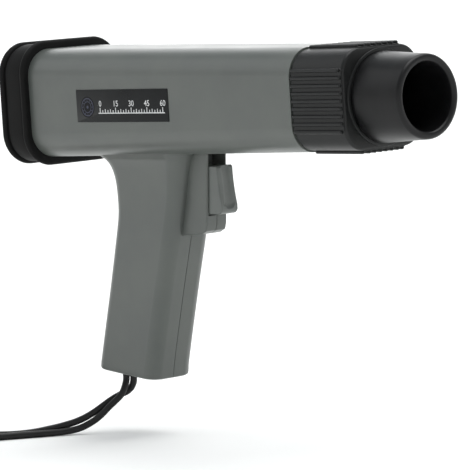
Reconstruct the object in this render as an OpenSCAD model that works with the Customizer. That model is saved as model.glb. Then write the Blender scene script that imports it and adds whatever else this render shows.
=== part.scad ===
/* [Barrel] */
// Length of the grey barrel in front of the boot
barrel_len = 204.2; // [180:1:230]
// Barrel width where the boot starts
barrel_w_rear = 61.7; // [60:0.1:63]
// Barrel height where the boot starts
barrel_h_rear = 58.8; // [57:0.1:60]
// Barrel width at the collar
barrel_w_front = 56.1; // [55:0.1:57]
// Barrel height at the collar
barrel_h_front = 53; // [52:0.1:54]
// Corner radius of the barrel
barrel_r = 15; // [12:0.5:16]
// Wall thickness of the casing
wall = 2.4; // [2:0.1:3]

/* [Rear boot] */
// Width of the boot's bead
boot_w = 69.8; // [68:0.1:72]
// Height of the boot's bead
boot_h = 68; // [66:0.1:70]
// Depth of the boot from bead to bezel
boot_depth = 22.8; // [22:0.1:24]
// Width of the panel opening in the bezel
opening_w = 53; // [52:0.5:54]
// Height of the panel opening in the bezel
opening_h = 50; // [49:0.5:51]
// How deep the panel lies behind the bezel
panel_recess = 2.5; // [2:0.1:3]

/* [Display and keys] */
// Width of the four-digit display
display_w = 40.2; // [38:0.1:42]
// Height of the four-digit display
display_h = 12.8; // [11:0.1:13]
// Height of the display's centre above the barrel axis
display_up = 12.2; // [12:0.1:13]
// Width of a diamond key
key_w = 10.5; // [9:0.1:10.8]
// Height of a diamond key
key_h = 10; // [9:0.1:10.4]
// Travel of a key
key_travel = 0.5; // [0.2:0.1:0.5]

/* [Front collar and nozzle] */
// Length of the collar
collar_len = 37.5; // [35:0.5:40]
// Thickness of the ribbed pads
pad_t = 1.8; // [1:0.1:2]
// Number of ribs on a side pad
rib_count = 9; // [5:1:9]
// Length of the nozzle in front of the collar
nozzle_len = 32.2; // [25:0.1:40]
// Nozzle radius at the collar
nozzle_r_root = 23; // [22.5:0.1:23.5]
// Nozzle radius at the tip
nozzle_r_tip = 21.1; // [20:0.1:22]
// Radius of the nozzle's bore
nozzle_bore_r = 17.1; // [15:0.1:17.5]

/* [Grip and trigger] */
// Width of the trigger's boss
boss_w = 14.4; // [14:0.1:16]
// Width of the trigger
trigger_w = 11.4; // [10:0.1:11.6]
// Travel of the trigger
trigger_travel = 4.5; // [2:0.1:4.5]

/* [Leads] */
// Diameter of each lead
lead_d = 3.8; // [3.5:0.1:4]
// Diameter of the two legs to the battery clips
leg_d = 2.8; // [2.5:0.1:3]
// Height of the barrel axis above the bench that the leads lie on
bench_drop = 181; // [180:1:182]

/* [Hidden] */
$fn = 64;
eps = 0.01;

// The model is drawn with x = 0 at the boot's bead and z = 0 on the barrel axis,
// then moved so that the origin is the middle of the gripping hand.
hand_x = 58;
hand_z = -100;
module in_hand() translate([-hand_x, 0, -hand_z]) children();
module along_x(x) translate([x, 0, 0]) rotate([0, 90, 0]) children();

// ---------- shapes ----------
// Ring of points round a rectangle with round corners, steps segments a corner
function rounded(w, h, r, steps = 7) = [
    for (c = [0:3], k = [0:steps])
        let (a = 90 * c + 90 * k / steps)
        [((c == 0 || c == 3) ? 1 : -1) * (w / 2 - r) + r * cos(a),
         (c < 2 ? 1 : -1) * (h / 2 - r) + r * sin(a)]
];

// Closed solid through a list of rings with the same number of points
module loft(rings) {
    n = len(rings[0]);
    m = len(rings);
    polyhedron(
        points = [for (ring = rings, p = ring) p],
        faces = concat(
            [[for (j = [0:n - 1]) j]],
            [for (i = [0:m - 2], j = [0:n - 1])
                [i * n + j, (i + 1) * n + j, i * n + (j + 1) % n]],
            [for (i = [0:m - 2], j = [0:n - 1])
                [(i + 1) * n + j, (i + 1) * n + (j + 1) % n, i * n + (j + 1) % n]],
            [[for (j = [n - 1:-1:0]) (m - 1) * n + j]]
        )
    );
}

// Loft along X through sections [x, width, height, corner radius]
module loft_x(sections) loft([
    for (s = sections) [for (p = rounded(s[1], s[2], s[3])) [s[0], p[0], p[1]]]
]);

// Rounded rectangle drawn exactly, as a flat shape
module rounded_square(w, h, r) {
    square([w - 2 * r, h], center = true);
    square([w, h - 2 * r], center = true);
    for (x = [-1, 1], y = [-1, 1])
        translate([x * (w / 2 - r), y * (h / 2 - r)]) circle(r);
}

// Plate in the YZ plane from x to x + t
module plate_x(x, t, w, h, r) translate([x, 0, 0]) rotate([90, 0, 90])
    linear_extrude(t) rounded_square(w, h, r);

// Side profile in XZ, extruded to a width across the middle
module side_plate(width) translate([0, width / 2, 0]) rotate([90, 0, 0])
    linear_extrude(width) children();

// ---------- barrel and grip casing ----------
shell_rear = -17;
function barrel_w(x) = barrel_w_rear + (barrel_w_front - barrel_w_rear) * x / barrel_len;
function barrel_h(x) = barrel_h_rear + (barrel_h_front - barrel_h_rear) * x / barrel_len;

module barrel(inset = 0, x0 = shell_rear, x1 = barrel_len) loft_x([
    for (x = [x0, x1])
        [x, barrel_w(x) - 2 * inset, barrel_h(x) - 2 * inset, barrel_r - inset]
]);

// Grip sections from the barrel down: [height, rear x, front x, width, corner radius, tilt]
grip_sections = [
    [-24, 31, 107, 44, 14, 0],
    [-28.5, 34, 104.5, 38, 12, 0],
    [-31, 37.5, 103, 34.5, 11, 0],
    [-35, 41, 101, 32.2, 10, 0],
    [-42, 43.7, 99, 30.8, 9, 0],
    [-52, 44.8, 96.6, 30, 8, 0],
    [-62, 44.2, 93.8, 30, 8, 0],
    [-76, 40.6, 89.7, 30, 8, 0],
    [-100, 33.9, 82.2, 30, 8, 0],
    [-124, 27.1, 74.8, 30, 8, 0.05],
    [-140, 22.6, 70, 30, 8, 0.09],
    [-145.8, 21.2, 68.8, 30, 8, 0.1],
    [-147.2, 21.8, 68.2, 28.8, 7.6, 0.1],
    [-147.8, 23.2, 66.8, 26, 7, 0.1]
];
grip_wall_top = -20;
grip_wall_bottom = -144.6;
function grip_ring(s, inset) =
    let (mid = (s[1] + s[2]) / 2, long = s[2] - s[1] - 2 * inset, wide = s[3] - 2 * inset)
    [for (p = rounded(long, wide, s[4] - inset))
        [mid + p[0], -p[1], s[0] - s[5] * p[0]]];
module grip() loft([for (s = grip_sections) grip_ring(s, 0)]);
module grip_hollow() loft(concat(
    [grip_ring([grip_wall_top, 31, 107, 44, 14, 0], wall)],
    [for (s = grip_sections) if (s[0] > -145) grip_ring(s, wall)],
    [grip_ring([grip_wall_bottom, 21.9, 69, 30, 8, 0.1], wall)]
));

// Trigger boss under the barrel, in front of the grip
boss_side = [[84, -24], [115.3, -24], [111.8, -65.5], [110.4, -69], [106.9, -70.9], [84, -72.6]];
slot_top = -28.5;
slot_bottom = -61.2;
slot_w = trigger_w + 0.5;
module boss() side_plate(boss_w) polygon(boss_side);
module trigger_slot() translate([86, -slot_w / 2, slot_bottom])
    cube([40, slot_w, slot_top - slot_bottom]);

module casing_outer() {
    barrel();
    grip();
    boss();
}

// Screws run across the casing: [x, z, half width inside there]
screw_places = [[14, 17], [14, -17], [140, 17], [140, -17], [66, -84], [40, -134]];
screw_seat_y = 8;
screw_post_r = 4;
screw_well_r = 3.4;
function inside_y(p) = p[1] > -30 ? barrel_w(p[0]) / 2 - wall - 1.2 : 15 - wall + 0.8;

// Slot through the bottom for the grommet
grommet_x = 32.1;
module grommet_outline(grow) {
    square([4.4, 7.4 + 2 * grow], center = true);
    for (x = [-1, 1]) translate([x * 2.2, 0]) circle(3.7 + grow);
}
module grommet_slot() translate([grommet_x, 0, -152]) linear_extrude(14) grommet_outline(0);

// Recess for the name plate in the near side
label_x = 39.4;
label_len = 73.4;
label_h = 17.4;
label_z = -1;
label_t = 0.7;
label_proud = 0.35;
side_slope = atan((barrel_w_rear - barrel_w_front) / 2 / barrel_len);
module label_box(grow, depth) translate([label_x, -barrel_w(label_x) / 2, label_z])
    rotate([0, 0, side_slope]) translate([-grow, -label_proud, -label_h / 2 - grow])
        cube([label_len + 2 * grow, depth, label_h + 2 * grow]);

// Ledges that carry the main board
board_z = -8;
board_t = 1.6;
module ledge(side) translate([8, side > 0 ? 20.5 : -27.2, board_z - 1.8]) cube([110, 6.7, 1.7]);

module half_space(side) translate([-100, side > 0 ? 0.05 : -100.05, -200]) cube([400, 100, 300]);

module left_shell() color("#6e716d") in_hand() {
    difference() {
        union() {
            intersection() {
                difference() {
                    casing_outer();
                    barrel(wall, shell_rear - 1, barrel_len + 1);
                    grip_hollow();
                }
                half_space(-1);
            }
            for (p = screw_places) translate([p[0], -0.05, p[1]]) rotate([90, 0, 0])
                cylinder(r = screw_post_r, h = inside_y(p));
            ledge(-1);
            // Seat of the trigger spring
            translate([80, -13.4, -38.5]) cube([3.5, 13.3, 10]);
        }
        for (p = screw_places) translate([p[0], 1, p[1]]) rotate([90, 0, 0])
            cylinder(r = 1.25, h = 11);
        trigger_slot();
        grommet_slot();
        label_box(0, 10);
    }
}

module right_shell() color("#6e716d") in_hand() difference() {
    union() {
        intersection() {
            difference() {
                casing_outer();
                barrel(wall, shell_rear - 1, barrel_len + 1);
                grip_hollow();
            }
            half_space(1);
        }
        for (p = screw_places) translate([p[0], 0.05, p[1]]) rotate([-90, 0, 0])
            cylinder(r = screw_post_r + 1, h = inside_y(p));
        ledge(1);
    }
    for (p = screw_places) translate([p[0], -1, p[1]]) rotate([-90, 0, 0]) {
        cylinder(r = 1.6, h = 20);
        translate([0, 0, 1 + screw_seat_y]) cylinder(r = screw_well_r, h = 40);
    }
    trigger_slot();
    grommet_slot();
}

module shell_screws() color("silver") in_hand()
    for (p = screw_places) translate([p[0], screw_seat_y, p[1]]) rotate([-90, 0, 0])
        difference() {
            union() {
                cylinder(r = 2.9, h = 2.2);
                translate([0, 0, -15]) cylinder(r = 1.25, h = 15 + eps);
            }
            for (turn = [0, 90]) rotate([0, 0, turn]) translate([-1.7, -0.35, 1])
                cube([3.4, 0.7, 2]);
        }

// ---------- rear boot with the panel ----------
bezel_x = -boot_depth;
panel_x = bezel_x + panel_recess;
panel_t = 1.2;
boot_wall_w = 65.8;
boot_wall_h = 64.2;
bezel_w = 68;
bezel_h = 66.8;
boot_r = 18;

module rear_boot() color("#1d1e1e") in_hand() difference() {
    loft_x([
        [bezel_x, bezel_w - 2.8, bezel_h - 2.8, boot_r - 1.4],
        [bezel_x + 0.4, bezel_w - 1, bezel_h - 1, boot_r - 0.5],
        [bezel_x + 1.2, bezel_w, bezel_h, boot_r],
        [bezel_x + 2.6, bezel_w, bezel_h, boot_r],
        [bezel_x + 3.2, bezel_w - 1, bezel_h - 1, boot_r - 0.5],
        [bezel_x + 3.6, boot_wall_w - 1.2, boot_wall_h - 1.2, boot_r - 1.6],
        [bezel_x + 5.2, boot_wall_w - 1.2, boot_wall_h - 1.2, boot_r - 1.6],
        [bezel_x + 5.8, boot_wall_w, boot_wall_h, boot_r - 1],
        [-5.8, boot_wall_w + 0.6, boot_wall_h + 0.6, boot_r - 0.7],
        [-5.3, boot_wall_w - 0.8, boot_wall_h - 0.8, boot_r - 1.4],
        [-4, boot_wall_w - 0.8, boot_wall_h - 0.8, boot_r - 1.4],
        [-3.6, boot_w - 1.4, boot_h - 1.4, boot_r - 0.7],
        [-2.8, boot_w, boot_h, boot_r],
        [-0.9, boot_w, boot_h, boot_r],
        [0, boot_w - 1.6, boot_h - 1.6, boot_r - 0.8]
    ]);
    // Opening with its sloping lip
    loft_x([
        [bezel_x - 1, opening_w + 6, opening_h + 6, 15],
        [panel_x + 0.1, opening_w, opening_h, 12]
    ]);
    // Pocket for the panel, then the sleeve over the casing
    plate_x(panel_x, 3.4, 56.6, 53.6, 13);
    loft_x([for (x = [shell_rear, 1]) [x, barrel_w(x) + 0.1, barrel_h(x) + 0.1, barrel_r]]);
}

key_y = [17.4, 5.8, -5.8, -17.4];
key_z = [-12.5, -11.4, -11.4, -12.5];
led_y = [15.8, 5.3, -5.3, -15.8];
led_z = 0;
led_r = 1.5;
window_w = display_w + 0.8;
window_h = display_h + 0.8;

module diamond(w, h) polygon([[w / 2, 0], [0, h / 2], [-w / 2, 0], [0, -h / 2]]);
// A flat shape in the panel's plane, extruded forward from x
module from_panel(x, t) translate([x, 0, 0]) rotate([90, 0, 90]) linear_extrude(t) children();

module keypad_panel() color("#232323") in_hand() difference() {
    plate_x(panel_x + 0.05, panel_t, 56, 53, 12.7);
    from_panel(panel_x - 1, 4) translate([0, display_up])
        square([window_w + 0.1, window_h + 0.1], center = true);
    for (i = [0:3]) {
        from_panel(panel_x - 1, 4) translate([key_y[i], key_z[i]]) diamond(key_w + 0.6, key_h + 0.6);
        translate([panel_x - 1, led_y[i], led_z]) rotate([0, 90, 0]) cylinder(r = led_r + 0.1, h = 4);
    }
}

module display_window() color("#7a0c0c") in_hand()
    translate([panel_x - 0.15, -window_w / 2, display_up - window_h / 2])
        cube([1.3, window_w, window_h]);

board_x = -13;
module led_display() color("#3a0808") in_hand()
    translate([panel_x + 1.2, -display_w / 2, display_up - display_h / 2])
        cube([board_x - panel_x - 1.2, display_w, display_h]);

module indicator_leds() color("#c03020") in_hand() for (y = led_y)
    translate([panel_x - 0.3, y, led_z]) rotate([0, 90, 0])
        cylinder(r = led_r, h = board_x - panel_x + 0.3);

key_back = panel_x + panel_t + 0.8;
module key(i) in_hand() {
    from_panel(panel_x - 0.6, 1.9) translate([key_y[i], key_z[i]]) diamond(key_w, key_h);
    from_panel(key_back - 0.7, 0.7) translate([key_y[i], key_z[i]])
        diamond(key_w + 0.9, key_h + 0.9);
}
module mode_key() color("#2c2c2c") key(0);
module plus_key() color("#2c2c2c") key(1);
module minus_key() color("#2c2c2c") key(2);
module stroke_key() color("#2c2c2c") key(3);

module tact_switches() color("#b8b8b8") in_hand() for (i = [0:3])
    translate([board_x, key_y[i], key_z[i]]) rotate([0, -90, 0]) {
        translate([-3, -3, 0]) cube([6, 6, 3.2]);
        cylinder(r = 1.7, h = board_x - key_back - key_travel - 0.1);
    }

module display_board() color("#2f6b3a") in_hand() plate_x(board_x, 1.6, 54, 51.5, 11);

// ---------- inside the barrel ----------
module main_board() color("#2f6b3a") in_hand() {
    translate([6, -22, board_z]) cube([130, 44, board_t]);
    for (k = [0:3]) translate([16 + 10 * k, -14, board_z + board_t]) cube([6, 8, 1.6]);
}

module storage_capacitor() color("#27324f") in_hand() translate([44, 6, board_z + board_t + 8.5])
    rotate([0, 90, 0]) cylinder(r = 8.5, h = 42);

module pulse_transformer() color("#c9a227") in_hand()
    translate([96, -9, board_z + board_t]) cube([16, 18, 14]);

reflector_x = 160;
module reflector() color("#d8dcdf") in_hand() along_x(reflector_x) rotate_extrude() polygon(concat(
    [for (k = [0:12]) let (r = 5 + 16.4 * k / 12) [r, r * r / 14.3]],
    [for (k = [12:-1:0]) let (r = 5 + 16.4 * k / 12) [r + 1, r * r / 14.3 - 0.6]]
));

module lamp_socket() color("#e8e4da") in_hand() along_x(reflector_x - 14) {
    cylinder(r = 9, h = 11);
    cylinder(r = 4.6, h = 15);
}

module xenon_tube() color("#e6eef2") in_hand() along_x(reflector_x + 1) {
    cylinder(r = 2.6, h = 20);
    translate([0, 0, 20]) sphere(2.6);
}

lens_x = barrel_len + 3;
lens_r = 21.6;
module focus_lens() color("#dfe9ee") in_hand() along_x(lens_x) rotate_extrude() intersection() {
    translate([0, -40]) square([lens_r, 48]);
    translate([0, -47]) circle(54, $fn = 180);
    translate([0, 0]) square([lens_r, 10]);
}

// ---------- front collar and nozzle ----------
collar_base_w = barrel_w_front - 2;
collar_base_h = barrel_h_front - 1.9;
collar_r = 13;
side_pad = 32.6;
top_pad = 29.6;
spigot_r = 22.2;
rib_h = 0.9;

// Ribbed pad lying on a face at height z, ribs along X
module pad(width, z, ribs) {
    translate([barrel_len + 0.6, -width / 2, z - 2]) cube([collar_len - 1.2, width, 2 + pad_t - rib_h]);
    pitch = (width - 2) / (ribs - 1);
    for (k = [0:ribs - 1])
        translate([barrel_len + 0.6, -width / 2 + 1 + pitch * k, z + pad_t - rib_h]) rotate([0, 90, 0])
            cylinder(r = rib_h, h = collar_len - 1.2, $fn = 24);
}

module front_collar() color("#1b1c1c") in_hand() difference() {
    union() {
        plate_x(barrel_len, collar_len, collar_base_w, collar_base_h, collar_r);
        for (turn = [0, 180]) {
            rotate([turn, 0, 0]) pad(top_pad, collar_base_h / 2, 8);
            rotate([turn + 90, 0, 0]) pad(side_pad, collar_base_w / 2, rib_count);
        }
        // Sleeve inside the casing and the raised ring round the nozzle
        along_x(barrel_len - 8) cylinder(r = 23.8, h = 10);
        along_x(barrel_len + collar_len) cylinder(r = 24.6, h = 0.9);
    }
    along_x(barrel_len - 9) cylinder(r = lens_r - 1.2, h = 60);
    along_x(lens_x) cylinder(r = spigot_r, h = 60);
}

nozzle_x = barrel_len + collar_len;
nozzle_tip = nozzle_x + nozzle_len;
spigot_x = lens_x + 7.5;
module nozzle() color("#171818") in_hand() along_x(0) rotate_extrude($fn = 96) polygon([
    [nozzle_bore_r, spigot_x],
    [spigot_r - 0.05, spigot_x],
    [spigot_r - 0.05, nozzle_x + 0.95],
    [nozzle_r_root, nozzle_x + 0.95],
    [nozzle_r_tip + 0.1, nozzle_tip - 4],
    for (a = [0:15:180])
        [(nozzle_r_tip + nozzle_bore_r) / 2 + (nozzle_r_tip - nozzle_bore_r) / 2 * cos(a),
         nozzle_tip - 1.9 + 1.9 * sin(a)]
]);

module name_label() color("#202326") in_hand() label_box(-0.1, label_t);

// ---------- trigger ----------
plunger_tip = 89.9;
trigger_back = plunger_tip + 0.6 + trigger_travel;
trigger_top = -34.9;
trigger_foot = -60.4;
toe_r = 3.2;
// Scooped front edge, from its top corner to the toe
trigger_front = [for (t = [0:0.2:1]) [120.6 + 2.2 * t * t, trigger_top - 1 - 20 * t]];
trigger_toe = [for (a = [0:22.5:90])
    [122.9 - toe_r + toe_r * cos(a), trigger_foot + toe_r - toe_r * sin(a)]];
module trigger() color("#74777a") in_hand() {
    side_plate(trigger_w) polygon(concat(
        [[trigger_back, trigger_foot], [trigger_back, trigger_top], [119.7, trigger_top]],
        trigger_front, trigger_toe
    ));
    // Shoulder that closes the slot above the finger piece
    translate([trigger_back, -trigger_w / 2, trigger_top - eps]) cube([10, trigger_w, 6.1]);
}

module trigger_spring() color("silver") in_hand() translate([83.6, 0, -33.5]) rotate([0, 90, 0])
    for (k = [0:4]) translate([0, 0, 0.5 + 2.6 * k]) rotate_extrude()
        translate([2.3, 0]) circle(0.4, $fn = 16);

module trigger_switch() color("#2b2b30") in_hand() {
    translate([72, -3.2, -60]) cube([12, 6.4, 20]);
    translate([83.9, 0, -46]) rotate([0, 90, 0]) cylinder(r = 1.2, h = plunger_tip - 83.9);
}

// ---------- leads ----------
grommet_face = -149;
module cable_grommet() color("#161616") in_hand() {
    translate([grommet_x, 0, grommet_face]) linear_extrude(2.6) grommet_outline(-0.1);
    translate([grommet_x, 0, grommet_face + 2.5]) linear_extrude(7) grommet_outline(-0.1);
}

// The leads are laid out from the grommet: [along the lay, aside, height], along heading back
// and to the near side, aside away from it
lay_angle = 228.95;
bench_z = -bench_drop;
function laid(p) = [
    grommet_x + p[0] * cos(lay_angle) + p[1] * sin(lay_angle),
    p[0] * sin(lay_angle) - p[1] * cos(lay_angle),
    p[2]
];
function laid_all(list) = [for (p = list) laid(p)];

pickup_route = [
    [-2, 0, -149], [-2, 0.1, -152], [-1.3, 1, -155.5], [1.2, 2.4, -158.8], [5.5, 2.8, -160.8],
    [10.5, 2.4, -163.2], [16, 1.7, -166.6], [22, 1.2, -170.2], [29, 1.2, -173.4], [37, 1.6, -175.6],
    [46, 2.2, -177.3], [56, 2.5, -178.6], [66, 2.9, -179], [76, 5, -179]
];
battery_route = [
    [2, 0, -149], [2, 0, -152], [2.9, -1, -155.6], [5, -2, -160], [8.5, -2.4, -163.4],
    [12.5, -2, -166.8], [17, -1.2, -171], [23, -0.6, -175], [30, -0.6, -177.8], [38, -1, -178.8],
    [48, -1.8, -179], [58, -2.6, -179], [68, -3.4, -179], [78, -5, -179]
];

// Unit vector and the frame of a route at point i
function unit(v) = v / norm(v);
function heading(route, i) = unit(route[min(i + 1, len(route) - 1)] - route[max(i - 1, 0)]);
function side_of(t) = unit(cross(t, abs(t[2]) > 0.9 ? [0.3, -0.95, 0] : [0, 0, 1]));

// Tube of a lead along its own points
module tube(route, d, sides = 8) loft([
    for (i = [0:len(route) - 1])
        let (t = i == 0 && abs(heading(route, 0)[2]) > 0.9 ? [0, 0, -1] : heading(route, i),
             s = side_of(t), u = cross(s, t))
        [for (k = [0:sides - 1]) let (a = -360 * k / sides)
            route[i] - s * (d / 2 * cos(a)) + u * (d / 2 * sin(a))]
]);

// Coils lie flat on the bench: two layers of five turns a lead's width apart
coil_turns = 5;
coil_r_in = 13.4;
coil_r_out = coil_r_in + (coil_turns - 1) * lead_d;
coil_lift = 0.6;
pickup_coil_at = [-75, -55];
battery_coil_at = [-141, -55];
b = bench_z;
pickup_path = concat(laid_all(pickup_route),
    [[-29, -63, b + 2], [-38, -71.5, b + 2.1], [-49, -78.5, b + 2.3], [-62, -82.6, b + 2.5]]);
battery_path = concat(laid_all(battery_route),
    [[-24, -71.5, b + 2], [-34, -80, b + 2], [-46, -86, b + 2], [-60, -89, b + 2], [-75, -89.8, b + 2],
     [-90, -89, b + 2], [-105, -87.4, b + 2.1], [-118, -85.6, b + 2.3], [-129, -84.3, b + 2.5]]);
pickup_tail_path = [[-46.4, -55, b + 6.3], [-46.4, -60, b + 7.4], [-47.2, -65.5, b + 10],
    [-49.6, -70.4, b + 13], [-53.4, -73.9, b + 15], [-58, -75, b + 15.6]];
battery_tail_path = [[-141, -26.4, b + 6.3], [-133, -26.3, b + 6.2], [-126, -25.8, b + 5.5],
    [-120, -25, b + 4.7], [-116, -24.5, b + 4.3]];
red_leg_path = [[-100, -26.2, b + 4.3], [-94, -25.5, b + 5.6], [-88.5, -26.1, b + 9.9],
    [-84.9, -29.9, b + 10.6], [-84.7, -35, b + 10.6], [-88, -39, b + 10.8], [-93.5, -41, b + 11.4],
    [-100, -41, b + 12.6], [-106, -40.2, b + 13.9], [-111, -39.3, b + 15.2], [-117, -39.1, b + 15.6]];
black_leg_path = [[-100, -22.8, b + 4.3], [-96.5, -22.2, b + 3.8], [-92, -18.5, b + 2.2],
    [-89.6, -12, b + 1.5], [-90.8, -5, b + 1.5], [-95.6, -1.2, b + 1.5], [-101.4, -3.4, b + 2],
    [-104.4, -9, b + 3.6], [-107, -14.6, b + 5.6], [-111, -18, b + 6.9], [-117, -18.9, b + 7.2]];

module lead_coil(place) translate([place[0], place[1], bench_z + coil_lift]) rotate_extrude()
    translate([coil_r_in - lead_d / 2, 0]) square([coil_turns * lead_d, 2 * lead_d + 0.2]);

tie_t = 0.5;
tie_w = coil_turns * lead_d + 0.8;
module coil_tie(place, a) translate([place[0], place[1], bench_z + 0.05]) rotate([0, 0, a])
    translate([(coil_r_in + coil_r_out) / 2, 2.5, 0]) rotate([90, 0, 0]) linear_extrude(5) difference() {
        translate([-tie_w / 2 - tie_t, 0]) square([tie_w + 2 * tie_t, 2 * lead_d + 2 * tie_t + 0.4]);
        translate([-tie_w / 2, tie_t]) square([tie_w, 2 * lead_d + 0.4]);
    }

module pickup_lead() color("#1c1c1c") in_hand() tube(pickup_path, lead_d);
module pickup_coil() color("#1c1c1c") in_hand() lead_coil(pickup_coil_at);
module pickup_tail() color("#1c1c1c") in_hand() tube(pickup_tail_path, lead_d);
module pickup_tie() color("#303030") in_hand() coil_tie(pickup_coil_at, 60);
module battery_lead() color("#1c1c1c") in_hand() tube(battery_path, lead_d);
module battery_coil() color("#1c1c1c") in_hand() lead_coil(battery_coil_at);
module battery_tail() color("#1c1c1c") in_hand() tube(battery_tail_path, lead_d);
module battery_tie() color("#303030") in_hand() coil_tie(battery_coil_at, 180);
module lead_splitter() color("#161616") in_hand() translate([-116, -24.5, bench_z + 4.3])
    rotate([0, 90, 0]) cylinder(r1 = 2.6, r2 = 4.2, h = 16);
module red_leg() color("#a31515") in_hand() tube(red_leg_path, leg_d);
module black_leg() color("#1c1c1c") in_hand() tube(black_leg_path, leg_d);

// ---------- battery clips ----------
// A clip is drawn with its pivot at the origin, its jaws along +X and its pin along Z
clip_t = 12;
clip_plate = 1.2;
clip_gap = 0.2;
ear_r = 4.2;
clip_pin_r = 1.25;
// The black clip lies on the bench, and the red one turned over on top of the battery lead's coil
red_clip_at = [-146, -50, bench_z + 9.6];
black_clip_at = [-146, -8, bench_z + 1.2];
clip_profile = [[27, -0.25], [11, -0.25], [8, -2.6], [-6, -2.6], [-26, -8.8], [-27, -11],
    [-25.5, -11.6], [-5, -6.8], [9, -6.4], [24, -4.3], [27, -2.6]];
clip_grip_profile = [[-10, -2.4], [-27.5, -7.6], [-29, -9], [-29, -12.6], [-26, -13.4], [-10, -9.6]];

module at_clip(place, turned = 0) translate(place) mirror([1, 0, 0]) mirror([0, turned, 0]) children();

// One stamped half: a channel with a web outside and ears at the pivot
module clip_half(z0, z1) difference() {
    union() {
        difference() {
            translate([0, 0, z0]) linear_extrude(z1 - z0) polygon(clip_profile);
            translate([0, 1.4, z0 + clip_plate])
                linear_extrude(z1 - z0 - 2 * clip_plate) polygon(clip_profile);
        }
        for (z = [z0, z1 - clip_plate]) translate([0, 0, z]) cylinder(r = ear_r, h = clip_plate);
    }
    translate([0, 0, -1]) cylinder(r = clip_pin_r + 0.05, h = clip_t + 2);
    for (k = [0:5]) translate([13 + 2.4 * k, 0.2, -1]) rotate([0, 0, 45]) translate([-0.7, -0.7, 0])
        cube([1.4, 1.4, clip_t + 2]);
}

// Plastic sleeve over a handle
module clip_grip(z0, z1) difference() {
    translate([0, 0, z0 - 1]) linear_extrude(z1 - z0 + 2) polygon(clip_grip_profile);
    translate([0, 0, z0]) linear_extrude(z1 - z0) polygon(clip_profile);
}

module clip_pin() {
    cylinder(r = clip_pin_r, h = clip_t);
    translate([0, 0, -0.8]) cylinder(r = 2.2, h = 0.8);
    translate([0, 0, clip_t]) cylinder(r = 2.2, h = 0.8);
}

module clip_spring() {
    for (k = [0:3]) translate([0, 0, 4.2 + 1.2 * k]) rotate_extrude()
        translate([2.3, 0]) circle(0.55, $fn = 16);
    for (side = [-1, 1]) translate([-1, side * 2.2, 6 + side * 1.8])
        rotate([0, 0, side * 163]) rotate([0, 90, 0]) cylinder(r = 0.5, h = 17);
}

jaw_z0 = clip_plate + clip_gap;
jaw_z1 = clip_t - clip_plate - clip_gap;
module red_clip_base() color("#b9bcc0") in_hand() at_clip(red_clip_at, 1) clip_half(0, clip_t);
module red_clip_jaw() color("#b9bcc0") in_hand() at_clip(red_clip_at, 1)
    mirror([0, 1, 0]) clip_half(jaw_z0, jaw_z1);
module red_base_grip() color("#a31515") in_hand() at_clip(red_clip_at, 1) clip_grip(0, clip_t);
module red_jaw_grip() color("#a31515") in_hand() at_clip(red_clip_at, 1)
    mirror([0, 1, 0]) clip_grip(jaw_z0, jaw_z1);
module red_clip_pin() color("#8d9094") in_hand() at_clip(red_clip_at, 1) clip_pin();
module red_clip_spring() color("#8d9094") in_hand() at_clip(red_clip_at, 1) clip_spring();
module black_clip_base() color("#b9bcc0") in_hand() at_clip(black_clip_at) clip_half(0, clip_t);
module black_clip_jaw() color("#b9bcc0") in_hand() at_clip(black_clip_at)
    mirror([0, 1, 0]) clip_half(jaw_z0, jaw_z1);
module black_base_grip() color("#1c1c1c") in_hand() at_clip(black_clip_at) clip_grip(0, clip_t);
module black_jaw_grip() color("#1c1c1c") in_hand() at_clip(black_clip_at)
    mirror([0, 1, 0]) clip_grip(jaw_z0, jaw_z1);
module black_clip_pin() color("#8d9094") in_hand() at_clip(black_clip_at) clip_pin();
module black_clip_spring() color("#8d9094") in_hand() at_clip(black_clip_at) clip_spring();

// ---------- inductive pickup clamp ----------
clamp_t = 14;
clamp_at = [-82, -65.5];
clamp_z = bench_z + coil_lift + 2 * lead_d + 0.4;
ferrite_x = 14.5;
ferrite_r = 8;
ferrite_bore_r = 5;
clamp_lug = 2.5;
clamp_profile = [[26, -0.15], [3, -0.15], [-2, -1.2], [-23, -7], [-24, -8], [-24, -11.2], [-23, -12],
    [-6, -9.6], [4, -10.8], [23, -10.8], [26, -8]];

module at_clamp() translate([clamp_at[0], clamp_at[1], clamp_z]) mirror([1, 0, 0]) children();

// Half of the clamp's body; its ears take the z ranges given
module clamp_half(ears, cuts) difference() {
    union() {
        linear_extrude(clamp_t) polygon(clamp_profile);
        for (z = ears) translate([0, 0, z[0]]) cylinder(r = 4.6, h = z[1] - z[0]);
    }
    for (z = cuts) translate([0, 0, z[0]]) cylinder(r = 4.9, h = z[1] - z[0]);
    translate([ferrite_x, 0, -1]) cylinder(r = ferrite_r + 0.02, h = clamp_t + 2);
    translate([0, 0, -1]) cylinder(r = 1.55, h = clamp_t + 2);
    // Pocket for the spring
    translate([-13.5, 0, clamp_t / 2]) rotate([90, 0, 0]) cylinder(r = 3.6, h = 6.4);
}

module ferrite_half() difference() {
    translate([ferrite_x, 0, 0.5]) cylinder(r = ferrite_r, h = clamp_t - 1);
    translate([ferrite_x, 0, -1]) cylinder(r = ferrite_bore_r, h = clamp_t + 2);
    translate([0, -0.1, -1]) cube([30, 20, clamp_t + 2]);
}

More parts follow.
